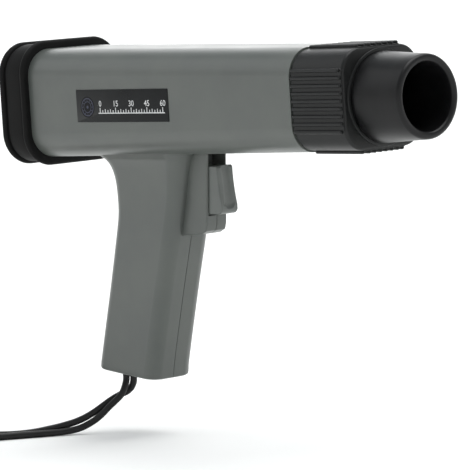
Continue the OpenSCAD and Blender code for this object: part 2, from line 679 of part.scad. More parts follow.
module pickup_base() color("#202020") in_hand() at_clamp()
    clamp_half([[0, clamp_lug], [clamp_t - clamp_lug, clamp_t]],
        [[clamp_lug - 0.1, clamp_t - clamp_lug + 0.1]]);
module pickup_jaw() color("#202020") in_hand() at_clamp() mirror([0, 1, 0])
    clamp_half([[clamp_lug + 0.1, clamp_t - clamp_lug - 0.1]],
        [[-1, clamp_lug + 0.1 - eps], [clamp_t - clamp_lug - 0.1 + eps, clamp_t + 1]]);
module pickup_pin() color("#8d9094") in_hand() at_clamp() cylinder(r = 1.5, h = clamp_t);
module pickup_spring() color("#8d9094") in_hand() at_clamp() translate([-13.5, 0, clamp_t / 2])
    rotate([90, 0, 0]) for (k = [0:5]) translate([0, 0, -5.6 + 2.24 * k])
        rotate_extrude() translate([2.8, 0]) circle(0.4, $fn = 16);
module base_ferrite() color("#3b3d40") in_hand() at_clamp() ferrite_half();
module jaw_ferrite() color("#3b3d40") in_hand() at_clamp() mirror([0, 1, 0]) ferrite_half();

left_shell();
right_shell();
shell_screws();
rear_boot();
keypad_panel();
display_window();
led_display();
indicator_leds();
display_board();
tact_switches();
mode_key();
plus_key();
minus_key();
stroke_key();
main_board();
storage_capacitor();
pulse_transformer();
reflector();
xenon_tube();
lamp_socket();
focus_lens();
front_collar();
nozzle();
name_label();
trigger();
trigger_spring();
trigger_switch();
cable_grommet();
pickup_lead();
pickup_coil();
pickup_tail();
pickup_tie();
battery_lead();
battery_coil();
battery_tail();
battery_tie();
lead_splitter();
red_leg();
black_leg();
red_clip_base();
red_base_grip();
red_clip_jaw();
red_jaw_grip();
red_clip_pin();
red_clip_spring();
black_clip_base();
black_base_grip();
black_clip_jaw();
black_jaw_grip();
black_clip_pin();
black_clip_spring();
pickup_base();
pickup_jaw();
pickup_pin();
pickup_spring();
base_ferrite();
jaw_ferrite();
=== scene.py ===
import math

import bmesh
import bpy
from mathutils import Matrix, Vector


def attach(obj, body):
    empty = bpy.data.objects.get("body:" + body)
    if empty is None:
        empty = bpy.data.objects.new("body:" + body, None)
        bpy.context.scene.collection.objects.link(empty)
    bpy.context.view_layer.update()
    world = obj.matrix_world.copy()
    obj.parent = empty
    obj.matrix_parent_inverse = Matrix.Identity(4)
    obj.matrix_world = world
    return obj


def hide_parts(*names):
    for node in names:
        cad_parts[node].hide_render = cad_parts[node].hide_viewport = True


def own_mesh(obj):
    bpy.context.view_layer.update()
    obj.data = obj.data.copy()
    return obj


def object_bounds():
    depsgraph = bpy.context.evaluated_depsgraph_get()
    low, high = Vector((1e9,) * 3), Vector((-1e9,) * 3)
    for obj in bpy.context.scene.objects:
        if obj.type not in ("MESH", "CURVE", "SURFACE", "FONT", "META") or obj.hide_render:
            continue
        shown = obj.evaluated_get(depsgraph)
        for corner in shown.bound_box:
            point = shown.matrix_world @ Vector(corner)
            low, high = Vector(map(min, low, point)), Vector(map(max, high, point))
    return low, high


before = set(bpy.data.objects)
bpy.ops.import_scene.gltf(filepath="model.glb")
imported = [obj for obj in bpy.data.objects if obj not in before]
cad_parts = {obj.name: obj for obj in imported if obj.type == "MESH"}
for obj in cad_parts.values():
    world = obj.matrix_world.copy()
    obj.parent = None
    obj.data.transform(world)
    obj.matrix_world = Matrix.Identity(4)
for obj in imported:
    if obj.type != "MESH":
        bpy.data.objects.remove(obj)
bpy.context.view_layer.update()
print("frame loaded:", len(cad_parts), "nodes")

mm = 0.001
hand = {"x": 58, "z": -100}  # middle of the gripping hand, in mm from the boot's bead and the barrel axis
drawn = Matrix.Scale(mm, 4) @ Matrix.Translation((-hand["x"], 0, -hand["z"]))


# Pieces are drawn in millimetres, x from the boot's bead and z from the barrel axis
def at(x, y, z):
    return drawn @ Vector((x, y, z))


# Camera: angles in degrees, the rest in mm
shot = {"azimuth": 48.23, "elevation": 4.95, "roll": 3.64, "distance": 1841.2, "lens": 266.1,
        "aim": (107.2, 16.1, -73.6)}


def makeCamera():
    turn, rise, roll = (math.radians(shot[k]) for k in ("azimuth", "elevation", "roll"))
    back = Vector((math.sin(turn) * math.cos(rise), -math.cos(turn) * math.cos(rise), math.sin(rise)))
    level = Vector((math.cos(turn), math.sin(turn), 0))
    upright = back.cross(level)
    right = level * math.cos(roll) - upright * math.sin(roll)
    up = level * math.sin(roll) + upright * math.cos(roll)
    camera = bpy.data.objects.new("camera", bpy.data.cameras.new("camera"))
    camera.data.sensor_width = 36
    camera.data.lens = shot["lens"]
    camera.data.clip_start, camera.data.clip_end = 0.1, 100
    camera.matrix_world = Matrix.Translation(at(*shot["aim"]) + back * shot["distance"] * mm) @ Matrix(
        (right, up, back)).transposed().to_4x4()
    bpy.context.scene.collection.objects.link(camera)
    bpy.context.scene.camera = camera


def linear(hexColour):
    parts = [int(hexColour[i:i + 2], 16) / 255 for i in (1, 3, 5)]
    return [p / 12.92 if p <= 0.04045 else ((p + 0.055) / 1.055) ** 2.4 for p in parts] + [1]


def addNode(tree, kind, inputs=(), **settings):
    made = tree.nodes.new("ShaderNode" + kind)
    for key, value in settings.items():
        setattr(made, key, value)
    for key, value in dict(inputs).items():
        if isinstance(value, bpy.types.NodeSocket):
            tree.links.new(value, made.inputs[key])
        else:
            made.inputs[key].default_value = value
    return made


def startMaterial(name, shader):
    material = bpy.data.materials.new(name)
    material.use_nodes = True
    tree = material.node_tree
    principled = tree.nodes["Principled BSDF"]
    for key, value in shader.items():
        principled.inputs[key].default_value = value
    return material, tree, principled


def noiseOf(tree, size, detail=3, stretch=(1, 1, 1)):
    place = addNode(tree, "TexCoord").outputs["Object"]
    place = addNode(tree, "Mapping", {"Vector": place, "Scale": stretch}).outputs["Vector"]
    return addNode(tree, "TexNoise", {"Vector": place, "Scale": 1000 / size, "Detail": detail,
                                      "Roughness": 0.55}).outputs[0]


def colourBetween(tree, value, low, high, start=0.35, end=0.65):
    ramp = addNode(tree, "ValToRGB", {"Fac": value})
    for stop, place, colour in zip(ramp.color_ramp.elements, (start, end), (low, high)):
        stop.position = place
        stop.color = linear(colour)
    return ramp.outputs["Color"]


def spread(tree, value, low, high):
    return addNode(tree, "MapRange", {"Value": value, "From Min": 0.3, "From Max": 0.7,
                                      "To Min": low, "To Max": high}).outputs["Result"]


# One finish: two close shades in slow patches, uneven gloss, and a grain of a real size in mm
def grainedMaterial(name, dark, light, rough, grain, height, patch=18, shader=(), stretch=(1, 1, 1)):
    material, tree, principled = startMaterial(name, dict(shader))
    patches = noiseOf(tree, patch, 4, stretch)
    fine = noiseOf(tree, grain, 2, stretch)
    tree.links.new(colourBetween(tree, patches, dark, light), principled.inputs["Base Color"])
    tree.links.new(spread(tree, patches, *rough), principled.inputs["Roughness"])
    bump = addNode(tree, "Bump", {"Height": fine, "Strength": 0.6, "Distance": height * mm})
    tree.links.new(bump.outputs["Normal"], principled.inputs["Normal"])
    return material


floorLook = {"size": 60, "colour": "#f2f2f0", "mottle": "#f6f6f5", "mottleSize": 400}


def makeStudio():
    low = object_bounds()[0]
    bm = bmesh.new()
    bmesh.ops.create_grid(bm, x_segments=4, y_segments=4, size=floorLook["size"] / 2)
    bmesh.ops.translate(bm, verts=bm.verts, vec=(0, 0, low.z))
    mesh = bpy.data.meshes.new("floor")
    bm.to_mesh(mesh)
    bm.free()
    floor = bpy.data.objects.new("floor", mesh)
    bpy.context.scene.collection.objects.link(floor)
    # Matt painted table: an even, very faint mottle and no shine
    floor.data.materials.append(grainedMaterial("paintedFloor", floorLook["colour"], floorLook["mottle"],
                                                (0.85, 0.95), 40, 0.01, patch=floorLook["mottleSize"],
                                                shader={"Specular IOR Level": 0.1}))
    makeSky()


sky = {"horizon": "#ffffff", "above": "#a6abae", "strength": 1.03, "low": 0.12, "high": 0.5}


# Plain backdrop: white round the horizon, dimmer overhead so that edges keep their shape
def makeSky():
    world = bpy.data.worlds.new("studio")
    world.use_nodes = True
    tree = world.node_tree
    upward = addNode(tree, "SeparateXYZ", {0: addNode(tree, "TexCoord").outputs["Generated"]}).outputs["Z"]
    shade = colourBetween(tree, upward, sky["horizon"], sky["above"], sky["low"], sky["high"])
    tree.links.new(shade, tree.nodes["Background"].inputs["Color"])
    tree.nodes["Background"].inputs["Strength"].default_value = sky["strength"]
    bpy.context.scene.world = world
    bpy.context.scene.view_settings.view_transform = "Standard"


lamps = [
    # name, direction it shines from, spread in degrees, strength
    ("overhead", (0.1, 0.25, 1), 60, 2.7),
    ("behindLeft", (-0.74, 0.56, 0.38), 36, 0.5),
    ("nearLeft", (-0.9, -0.7, 0.9), 40, 0.35),
]


# Very large soft lamps, drawn as suns with a wide disc so that the whole floor is lit alike
def makeLights():
    for name, direction, spreadAngle, strength in lamps:
        light = bpy.data.lights.new(name, "SUN")
        light.angle, light.energy = math.radians(spreadAngle), strength
        lamp = bpy.data.objects.new(name, light)
        lamp.rotation_euler = Vector(direction).to_track_quat("Z", "Y").to_euler()
        bpy.context.scene.collection.objects.link(lamp)


makeCamera()
makeStudio()
makeLights()
print("camera, floor and lights placed")


# Leads: sizes in mm, the four lengths in m
lead = {"d": 3.8, "legD": 2.8, "layAngle": 228.95, "exitX": 32.1, "bench": -181, "pickupLength": 1.33,
        "batteryLength": 1.36, "redLeg": 0.06, "blackLeg": 0.062}
coil = {"pickup": (-75, -55), "battery": (-141, -55), "inner": 13.4, "columns": 5, "lift": 2.5,
        "steps": 24, "jog": 0.3, "rise": 4.575, "riseTurn": 0.25, "outward": 5.15}

pickupRoute = [
    (-2, 0, -149), (-2, 0.1, -152), (-1.3, 1, -155.5), (1.2, 2.4, -158.8), (5.5, 2.8, -160.8),
    (10.5, 2.4, -163.2), (16, 1.7, -166.6), (22, 1.2, -170.2), (29, 1.2, -173.4), (37, 1.6, -175.6),
    (46, 2.2, -177.3), (56, 2.5, -178.6), (66, 2.9, -179), (76, 5, -179)]
batteryRoute = [
    (2, 0, -149), (2, 0, -152), (2.9, -1, -155.6), (5, -2, -160), (8.5, -2.4, -163.4),
    (12.5, -2, -166.8), (17, -1.2, -171), (23, -0.6, -175), (30, -0.6, -177.8), (38, -1, -178.8),
    (48, -1.8, -179), (58, -2.6, -179), (68, -3.4, -179), (78, -5, -179)]
pickupApproach = [(-29, -63, 2), (-38, -71.5, 2.1), (-49, -78.5, 2.3), (-62, -82.6, 2.5)]
batteryApproach = [(-24, -71.5, 2), (-34, -80, 2), (-46, -86, 2), (-60, -89, 2), (-75, -89.8, 2),
                   (-90, -89, 2), (-105, -87.4, 2.1), (-118, -85.6, 2.3), (-129, -84.3, 2.5)]
pickupTail = [(-46.4, -60, 7.4), (-47.2, -65.5, 10), (-49.6, -70.4, 13), (-53.4, -73.9, 15),
              (-58, -75, 15.6)]
batteryTail = [(-133, -26.3, 6.2), (-126, -25.8, 5.5), (-120, -25, 4.7), (-116, -24.5, 4.3)]
redLegPath = [(-100, -26.2, 4.3), (-94, -25.5, 5.6), (-88.5, -26.1, 9.9), (-84.9, -29.9, 10.6),
              (-84.7, -35, 10.6), (-88, -39, 10.8), (-93.5, -41, 11.4), (-100, -41, 12.6),
              (-106, -40.2, 13.9), (-111, -39.3, 15.2), (-117, -39.1, 15.6)]
blackLegPath = [(-100, -22.8, 4.3), (-96.5, -22.2, 3.8), (-92, -18.5, 2.2), (-89.6, -12, 1.5),
                (-90.8, -5, 1.5), (-95.6, -1.2, 1.5), (-101.4, -3.4, 2), (-104.4, -9, 3.6),
                (-107, -14.6, 5.6), (-111, -18, 6.9), (-117, -18.9, 7.2)]


# A point given along the lay, aside from it, and in height
def laid(point):
    turn = math.radians(lead["layAngle"])
    return (lead["exitX"] + point[0] * math.cos(turn) + point[1] * math.sin(turn),
            point[0] * math.sin(turn) - point[1] * math.cos(turn), point[2])


def onBench(points):
    return [(x, y, lead["bench"] + z) for x, y, z in points]


def smoothStep(t):
    t = min(max(t, 0), 1)
    return t * t * (3 - 2 * t)


# Clockwise from the near side: inwards in the lower layer, up, and outwards in the upper one
def coilPoints(centre, turns):
    points = []
    for step in range(int(turns * coil["steps"]) + 1):
        phase = step / coil["steps"]
        column = coil["columns"] - 1
        for k in range(coil["columns"] - 1):
            column -= smoothStep((phase - (k + 1 - coil["jog"])) / coil["jog"])
            column += smoothStep((phase - (k + coil["outward"])) / coil["jog"])
        radius = coil["inner"] + lead["d"] * column
        height = coil["lift"] + lead["d"] * smoothStep((phase - coil["rise"]) / coil["riseTurn"])
        angle = -math.pi / 2 - 2 * math.pi * phase
        points.append((centre[0] + radius * math.cos(angle), centre[1] + radius * math.sin(angle), height))
    return points


def makeCord(name, points, diameter, material):
    curve = bpy.data.curves.new(name, "CURVE")
    curve.dimensions = "3D"
    curve.bevel_depth = diameter / 2 * mm
    curve.bevel_resolution = 3
    curve.resolution_u = 4
    curve.use_fill_caps = True
    spline = curve.splines.new("BEZIER")
    spline.bezier_points.add(len(points) - 1)
    for knot, point in zip(spline.bezier_points, points):
        knot.co = at(*point)
        knot.handle_left_type = knot.handle_right_type = "AUTO"
    cord = bpy.data.objects.new(name, curve)
    bpy.context.scene.collection.objects.link(cord)
    curve.materials.append(material)
    print(f"  {name}: {spline.calc_length():.3f} m")
    return cord


# Flexible PVC, extruded: deep black with a soft sheen, drawn-out ripples along the jacket
leadBlack = grainedMaterial("extrudedPvcBlack", "#0d0d0d", "#161617", (0.38, 0.52), 1.6, 0.05, patch=9,
                            shader={"Specular IOR Level": 0.3})
# The same jacket in signal red, a little shinier where fingers pull it
leadRed = grainedMaterial("extrudedPvcRed", "#8e1210", "#a61a15", (0.34, 0.48), 1.6, 0.05, patch=9)

pickupPath = ([laid(p) for p in pickupRoute] + onBench(pickupApproach)
              + onBench(coilPoints(coil["pickup"], 8.75)) + onBench(pickupTail))
batteryPath = ([laid(p) for p in batteryRoute] + onBench(batteryApproach)
               + onBench(coilPoints(coil["battery"], 8.5)) + onBench(batteryTail))
pickupCord = makeCord("pickupCord", pickupPath, lead["d"], leadBlack)
batteryCord = makeCord("batteryCord", batteryPath, lead["d"], leadBlack)
redLegCord = makeCord("redLegCord", onBench(redLegPath), lead["legD"], leadRed)
blackLegCord = makeCord("blackLegCord", onBench(blackLegPath), lead["legD"], leadBlack)
for cord, nodes in ((pickupCord, ["pickup_lead", "pickup_coil", "pickup_tail"]),
                    (batteryCord, ["battery_lead", "battery_coil", "battery_tail"]),
                    (redLegCord, ["red_leg"]), (blackLegCord, ["black_leg"])):
    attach(cord, "gun")
    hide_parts(*nodes)


print("leads laid")


# Rounded rectangle drawn flat, each point then put in its place
def ring(bm, width, height, radius, place, steps=10):
    turn = math.pi / (4 * steps)
    made = bmesh.ops.create_circle(bm, segments=4 * steps, radius=radius / math.cos(turn),
                                   matrix=Matrix.Rotation(turn, 4, "Z"))["verts"]
    for vert in made:
        flat = vert.co + Vector((math.copysign(width / 2 - radius, vert.co.x),
                                 math.copysign(height / 2 - radius, vert.co.y), 0))
        vert.co = place(flat)
    return made


def acrossX(x):
    return lambda p: Vector((x, p.x, p.y))


# Skin through a row of rounded rectangles; closed joins the last one to the first
def loft(rings, closed=False, steps=10):
    bm = bmesh.new()
    loops = [ring(bm, *r, steps=steps) for r in rings]
    for first, second in zip(loops, loops[1:] + ([loops[0]] if closed else [])):
        for k in range(len(first)):  # each ring has its corners in the same order
            bm.faces.new((first[k - 1], first[k], second[k], second[k - 1]))
    if not closed:
        for loop in (loops[0], loops[-1]):
            bm.faces.new(loop)
    bmesh.ops.recalc_face_normals(bm, faces=bm.faces)
    return bm


def newVerts(grown):
    return [v for v in grown["geom"] if isinstance(v, bmesh.types.BMVert)]


def runsAlong(edge, axis):
    return abs((edge.verts[0].co - edge.verts[1].co).normalized()["xyz".index(axis)]) > 0.9


# Side outline [x, z] given a width across the barrel, with both rims eased
def slab(outline, width, edge):
    bm = bmesh.new()
    face = bm.faces.new([bm.verts.new((x, -width / 2, z)) for x, z in outline])
    grown = bmesh.ops.extrude_face_region(bm, geom=[face], use_keep_orig=True)
    bmesh.ops.translate(bm, verts=newVerts(grown), vec=(0, width, 0))
    bmesh.ops.recalc_face_normals(bm, faces=bm.faces)
    bevelled(bm, [e for e in bm.edges if not runsAlong(e, "y")], edge)
    return bm


def bevelled(bm, edges, width, segments=3):
    bmesh.ops.bevel(bm, geom=edges, offset=width, offset_type="OFFSET", segments=segments, profile=0.5,
                    affect="EDGES", material=-1, clamp_overlap=True)


def block(low, high, edge=0, segments=3):
    bm = bmesh.new()
    bmesh.ops.create_cube(bm, size=1)
    low, high = Vector(low), Vector(high)
    for vert in bm.verts:
        vert.co = (low + high) / 2 + Matrix.Diagonal(high - low) @ vert.co
    if edge:
        bevelled(bm, bm.edges[:], edge, segments)
    return bm


# A straight round bar between two points, cone where the radii differ, with optional round ends
def bar(start, end, radius, endRadius=None, segments=32, domed=False):
    bm = bmesh.new()
    start, end = Vector(start), Vector(end)
    lean = (end - start).to_track_quat("Z", "Y").to_matrix().to_4x4()
    bmesh.ops.create_cone(bm, cap_ends=not domed, segments=segments, radius1=radius,
                          radius2=radius if endRadius is None else endRadius, depth=(end - start).length,
                          matrix=Matrix.Translation((start + end) / 2) @ lean)
    if domed:
        for place in (start, end):
            ball = bmesh.ops.create_uvsphere(bm, u_segments=segments, v_segments=segments // 4 * 2,
                                             radius=radius, matrix=Matrix.Translation(place) @ lean)["verts"]
            outwards = (end - start).normalized() * (-1 if place == start else 1)
            inner = [v for v in ball if (v.co - place).dot(outwards) < -0.01]  # the rim itself stays
            bmesh.ops.delete(bm, geom=inner, context="VERTS")
        bmesh.ops.remove_doubles(bm, verts=bm.verts, dist=0.001)
    bmesh.ops.recalc_face_normals(bm, faces=bm.faces)
    return bm


# A turned shape: points [x, r] round a line along the barrel; one that misses the line closes on itself
def turned(profile, steps=96, centre=(0, 0, 0)):
    bm = bmesh.new()
    verts = [bm.verts.new(Vector(centre) + Vector((x, 0, r))) for x, r in profile]
    edges = [bm.edges.new(pair) for pair in zip(verts, verts[1:])]
    if all(r > 0.0001 for x, r in profile):
        edges.append(bm.edges.new((verts[-1], verts[0])))
    bmesh.ops.spin(bm, geom=verts + edges, cent=centre, axis=(1, 0, 0), angle=2 * math.pi, steps=steps,
                   use_merge=True)
    bmesh.ops.remove_doubles(bm, verts=bm.verts, dist=0.0005)
    bmesh.ops.recalc_face_normals(bm, faces=bm.faces)
    return bm


# Several shapes in one mesh, not joined
def gather(parts):
    whole = bmesh.new()
    for part in parts:
        mesh = bpy.data.meshes.new("part")
        part.to_mesh(mesh)
        part.free()
        whole.from_mesh(mesh)
        bpy.data.meshes.remove(mesh)
    return whole


# Boolean of two shapes, each lent an object for the purpose
def combined(base, other, operation="DIFFERENCE"):
    objects = []
    for bm in (base, other):
        mesh = bpy.data.meshes.new("work")
        bm.to_mesh(mesh)
        bm.free()
        objects.append(bpy.data.objects.new("work", mesh))
        bpy.context.scene.collection.objects.link(objects[-1])
    modifier = objects[0].modifiers.new("cut", "BOOLEAN")
    modifier.operation, modifier.object, modifier.solver = operation, objects[1], "EXACT"
    result = bmesh.new()
    result.from_object(objects[0], bpy.context.evaluated_depsgraph_get())
    for obj in objects:
        mesh = obj.data
        bpy.data.objects.remove(obj)
        bpy.data.meshes.remove(mesh)
    return result


# Shape to finished piece: in its place, shaded, with its material and body
def finishPiece(name, bm, materials, body="gun", replaces=(), sharp=35, weighted=False,
                merged=True):
    if merged:
        bmesh.ops.remove_doubles(bm, verts=bm.verts, dist=0.0005)
    bmesh.ops.transform(bm, verts=bm.verts, matrix=drawn)
    mesh = bpy.data.meshes.new(name)
    bm.to_mesh(mesh)
    bm.free()
    mesh.shade_smooth()
    mesh.set_sharp_from_angle(angle=math.radians(sharp))
    for material in materials if isinstance(materials, (list, tuple)) else [materials]:
        mesh.materials.append(material)
    piece = bpy.data.objects.new(name, mesh)
    bpy.context.scene.collection.objects.link(piece)
    if weighted:
        piece.modifiers.new("evenShading", "WEIGHTED_NORMAL").keep_sharp = True
    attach(piece, body)
    if replaces:
        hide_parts(*replaces)
    return piece


# Casing, from the boot to the collar
casing = {"rear": -17, "length": 204.2, "wRear": 61.7, "hRear": 58.8, "wFront": 56.1, "hFront": 53, "r": 15,
          "wall": 2.4, "seam": 0.05, "seamEdge": 0.4, "gripFloor": (-144.6, 21.9, 69, 30, 8, 0.1),
          "leadHole": (11.8, 7.4, 3.69), "leadX": 32.1, "leadFrom": -155, "leadTo": -138}
# Height, rear x, front x, width, corner radius, tilt
gripRows = [(-24, 31, 107, 44, 14, 0), (-28.5, 34, 104.5, 38, 12, 0), (-31, 37.5, 103, 34.5, 11, 0),
            (-35, 41, 101, 32.2, 10, 0), (-42, 43.7, 99, 30.8, 9, 0), (-52, 44.8, 96.6, 30, 8, 0),
            (-62, 44.2, 93.8, 30, 8, 0), (-76, 40.6, 89.7, 30, 8, 0), (-100, 33.9, 82.2, 30, 8, 0),
            (-124, 27.1, 74.8, 30, 8, 0.05), (-140, 22.6, 70, 30, 8, 0.09), (-145.8, 21.2, 68.8, 30, 8, 0.1),
            (-147.2, 21.8, 68.2, 28.8, 7.6, 0.1), (-147.8, 23.2, 66.8, 26, 7, 0.1)]
boss = {"w": 14.4, "outline": [(84, -24), (115.3, -24), (112.2, -60), (111.6, -66), (110.4, -69.2),
                               (106.9, -70.9), (84, -72.6)], "edge": 1.1}
triggerSlot = {"w": 11.9, "top": -28.5, "bottom": -61.2, "back": 86, "front": 126, "edge": 0.3}
screwPlaces = [(14, 17), (14, -17), (140, 17), (140, -17), (66, -84), (40, -134)]
# Radii for the half that takes the heads (1) and the half that takes the threads (-1)
screw = {"seat": 8, "well": 3.4, "post": {1: 5, -1: 4}, "hole": {1: 1.6, -1: 1.25}, "deep": 12}
label = {"x": 39.4, "length": 73.4, "h": 17.4, "z": -1, "proud": 0.35}


def barrelWidth(x):
    return casing["wRear"] + (casing["wFront"] - casing["wRear"]) * x / casing["length"]


def barrelHeight(x):
    return casing["hRear"] + (casing["hFront"] - casing["hRear"]) * x / casing["length"]


def barrelBlock(inset=0, x0=casing["rear"], x1=casing["length"]):
    return loft([(barrelWidth(x) - 2 * inset, barrelHeight(x) - 2 * inset, casing["r"] - inset, acrossX(x))
                 for x in (x0, x1)], steps=12)


# Smooth rows between the given ones
def eased(rows, cuts):
    made = []
    for i in range(len(rows) - 1):
        four = [rows[min(max(i + k, 0), len(rows) - 1)] for k in (-1, 0, 1, 2)]
        for k in range(cuts):
            t = k / cuts
            made.append([0.5 * (2 * b + (c - a) * t + (2 * a - 5 * b + 4 * c - d) * t ** 2
                                + (3 * b - a - 3 * c + d) * t ** 3) for a, b, c, d in zip(*four)])
    return made + [list(rows[-1])]


def gripRing(row, inset=0):
    height, rear, front, width, radius, tilt = row
    middle = (rear + front) / 2
    return (front - rear - 2 * inset, width - 2 * inset, radius - inset,
            lambda p: Vector((middle + p.x, p.y, height - tilt * p.x)))


# The plate lies on the barrel's side, which tapers a little
def labelTurn():
    slope = (casing["wRear"] - casing["wFront"]) / 2 / casing["length"]
    return Matrix.Translation((label["x"], -barrelWidth(label["x"]) / 2, label["z"])) @ Matrix.Rotation(
        math.atan(slope), 4, "Z")


# Both halves in one, hollow, with the trigger's slot, the leads' hole and the plate's recess
def wholeShell():
    outer = combined(barrelBlock(), loft([gripRing(r) for r in eased(gripRows, 3)], steps=12), "UNION")
    outer = combined(outer, slab(boss["outline"], boss["w"], boss["edge"]), "UNION")
    floorZ = casing["gripFloor"][0]
    hollowRows = [(-20, *gripRows[0][1:])] + [r for r in gripRows if r[0] > floorZ] + [casing["gripFloor"]]
    hollow = combined(barrelBlock(casing["wall"], casing["rear"] - 1, casing["length"] + 1),
                      loft([gripRing(r, casing["wall"]) for r in hollowRows], steps=12), "UNION")
    shell = combined(outer, hollow)
    half = triggerSlot["w"] / 2
    shell = combined(shell, block((triggerSlot["back"], -half, triggerSlot["bottom"]),
                                  (triggerSlot["front"], half, triggerSlot["top"]), triggerSlot["edge"]))
    leads = [(*casing["leadHole"], lambda p, z=z: Vector((casing["leadX"] + p.x, p.y, z)))
             for z in (casing["leadFrom"], casing["leadTo"])]
    shell = combined(shell, loft(leads, steps=8))
    recess = block((0, -5, -label["h"] / 2), (label["length"], label["proud"], label["h"] / 2))
    bmesh.ops.transform(recess, verts=recess.verts, matrix=labelTurn())
    return combined(shell, recess)


def screwBars(side, radius, start, end):
    return gather([bar((x, side * start, z), (x, side * (end(x, z) if callable(end) else end), z), radius)
                   for x, z in screwPlaces])


# Posts stop inside the wall: the flat side of the barrel, or the grip
def postReach(x, z):
    return barrelWidth(x) / 2 - casing["wall"] - 1.2 if z > -30 else 15 - casing["wall"] + 0.8


def makeCasing(material):
    shell = wholeShell()
    for side, name in ((-1, "left"), (1, "right")):
        limits = sorted((side * casing["seam"], side * 100))
        part = combined(shell.copy(), block((-100, limits[0], -200), (300, limits[1], 100)), "INTERSECT")
        seam = [e for e in part.edges if all(abs(v.co.y - side * casing["seam"]) < 0.001 for v in e.verts)
                and len(e.link_faces) == 2 and e.calc_face_angle(0) > 0.6]
        bmesh.ops.bevel(part, geom=seam, offset=casing["seamEdge"], offset_type="OFFSET", segments=2,
                        profile=0.5, affect="EDGES", material=-1, clamp_overlap=False)
        part = combined(part, screwBars(side, screw["post"][side], 0.1, postReach), "UNION")
        if side > 0:
            part = combined(part, screwBars(side, screw["well"], screw["seat"], 60))
        part = combined(part, screwBars(side, screw["hole"][side], -1, screw["deep"]))
        finishPiece(name + "Casing", part, material, replaces=[name + "_shell"], sharp=32,
                    weighted=True)
    shell.free()


# Injection-moulded ABS, painted satin grey: soft broad highlights over a very fine spark-eroded grain
casingGrey = grainedMaterial("paintedAbsGrey", "#4e524f", "#545854", (0.34, 0.42), 1.1, 0.02, patch=26,
                             shader={"Specular IOR Level": 0.5, "Coat Weight": 0.12, "Coat Roughness": 0.25})
makeCasing(casingGrey)
print("casing made")


# Boot: sections as width, height and corner radius; the waist as [x, inset], the lip as [x, growth]
boot = {"bead": (69.8, 68, 18), "beadR": 1.8, "wall": (65.8, 64.2, 17), "bezel": (68, 66.8, 18),
        "rollR": 2.2, "rollX": -20.6, "front": -22.8, "opening": (53, 50, 12), "panel": -20.3,
        "pocket": (56.6, 53.6, 13), "pocketX": -17, "grip": 0.1,
        "waist": [(-4, 0.7), (-4.6, 0.5), (-5.2, 0.2), (-6.2, 0), (-16.4, 0), (-17, 0.1), (-17.4, 0.5),
                  (-18.2, 0.8), (-18.9, 0.7)],
        "lip": [(-22.8, 7.6), (-22.65, 6.9), (-22.3, 6.3), (-21.7, 5.6), (-20.6, 1.2), (-20.4, 0.4)]}


# Ring of the boot's section at x, shrunk by an inset all round
def bootRing(size, x, inset=0):
    return (size[0] - 2 * inset, size[1] - 2 * inset, max(size[2] - inset, 1), acrossX(x))


def makeBoot(material):
    rings = []
    bead, roll, panelX = boot["beadR"], boot["rollR"], boot["panel"] + 0.1
    for a in range(0, 181, 30):  # bead round the mouth
        turn = math.radians(a)
        rings.append(bootRing(boot["bead"], -bead + bead * math.cos(turn), bead - bead * math.sin(turn)))
    rings += [bootRing(boot["wall"], x, inset) for x, inset in boot["waist"]]
    for a in range(-50, 90, 20):  # rolled edge of the bezel
        turn = math.radians(a)
        rings.append(bootRing(boot["bezel"], boot["rollX"] - roll * math.sin(turn),
                              roll - roll * math.cos(turn)))
    for a in range(90, 181, 20):  # its flat front
        rings.append(bootRing(boot["bezel"], boot["front"], roll + 1.2 * (a - 90) / 90))
    width, height, radius = boot["opening"]
    for x, grow in boot["lip"] + [(panelX, 0)]:
        rings.append((width + grow, height + grow, radius + grow / 2, acrossX(x)))
    rings += [bootRing(boot["pocket"], x) for x in (panelX, boot["pocketX"])]
    for x in (boot["pocketX"], 0):
        rings.append((barrelWidth(x) + boot["grip"], barrelHeight(x) + boot["grip"], casing["r"],
                      acrossX(x)))
    bm = loft(rings, closed=True, steps=14)
    finishPiece("rearBoot", bm, material, replaces=["rear_boot"], sharp=50)


# Moulded rubber: black with a grey bloom, no hard highlight, a fine matt grain
bootRubber = grainedMaterial("mouldedRubberBlack", "#0b0b0b", "#121212", (0.58, 0.7), 0.9, 0.05, patch=14,
                             shader={"Specular IOR Level": 0.13})
makeBoot(bootRubber)
print("boot made")


# Collar that closes the front of the casing
collar = {"x": 204.2, "length": 37.5, "w": 54.1, "h": 51.1, "r": 13, "rearEdge": 1.2, "frontEdge": 1.6,
          "padT": 0.35, "sidePad": 32.6, "topPad": 29.6, "sideRibs": 9, "topRibs": 8, "rib": 0.95, "ribUp": 0.83,
          "spigot": 23.8, "neck": 20.4, "lip": 20, "bore": 22.2, "bezelRing": 24.6}


# Pad lying on a face, with round-ended ribs along the barrel; turn is about the barrel axis
def padWithRibs(width, face, ribs, turn):
    x0, x1 = collar["x"] + 0.6, collar["x"] + collar["length"] - 0.6
    plate = block((x0, -width / 2, face - 2), (x1, width / 2, face + collar["padT"]))
    bevelled(plate, [e for e in plate.edges if runsAlong(e, "z")], 1.6, 4)
    bevelled(plate, [e for e in plate.edges if all(v.co.z > face for v in e.verts)], 0.35, 2)
    pitch = (width - 2) / (ribs - 1)
    parts = [plate]
    for k in range(ribs):
        y = -width / 2 + 1 + pitch * k
        inset = 0.9 if k in (0, ribs - 1) else 0.2  # the outer ribs are shorter
        parts.append(bar((x0 + collar["rib"] + inset, y, face + collar["ribUp"]),
                         (x1 - collar["rib"] - inset, y, face + collar["ribUp"]), collar["rib"],
                         segments=22, domed=True))
    spun = Matrix.Rotation(math.radians(turn), 4, "X")
    for part in parts:
        bmesh.ops.transform(part, verts=part.verts, matrix=spun)
    return parts[0], gather(parts[1:])


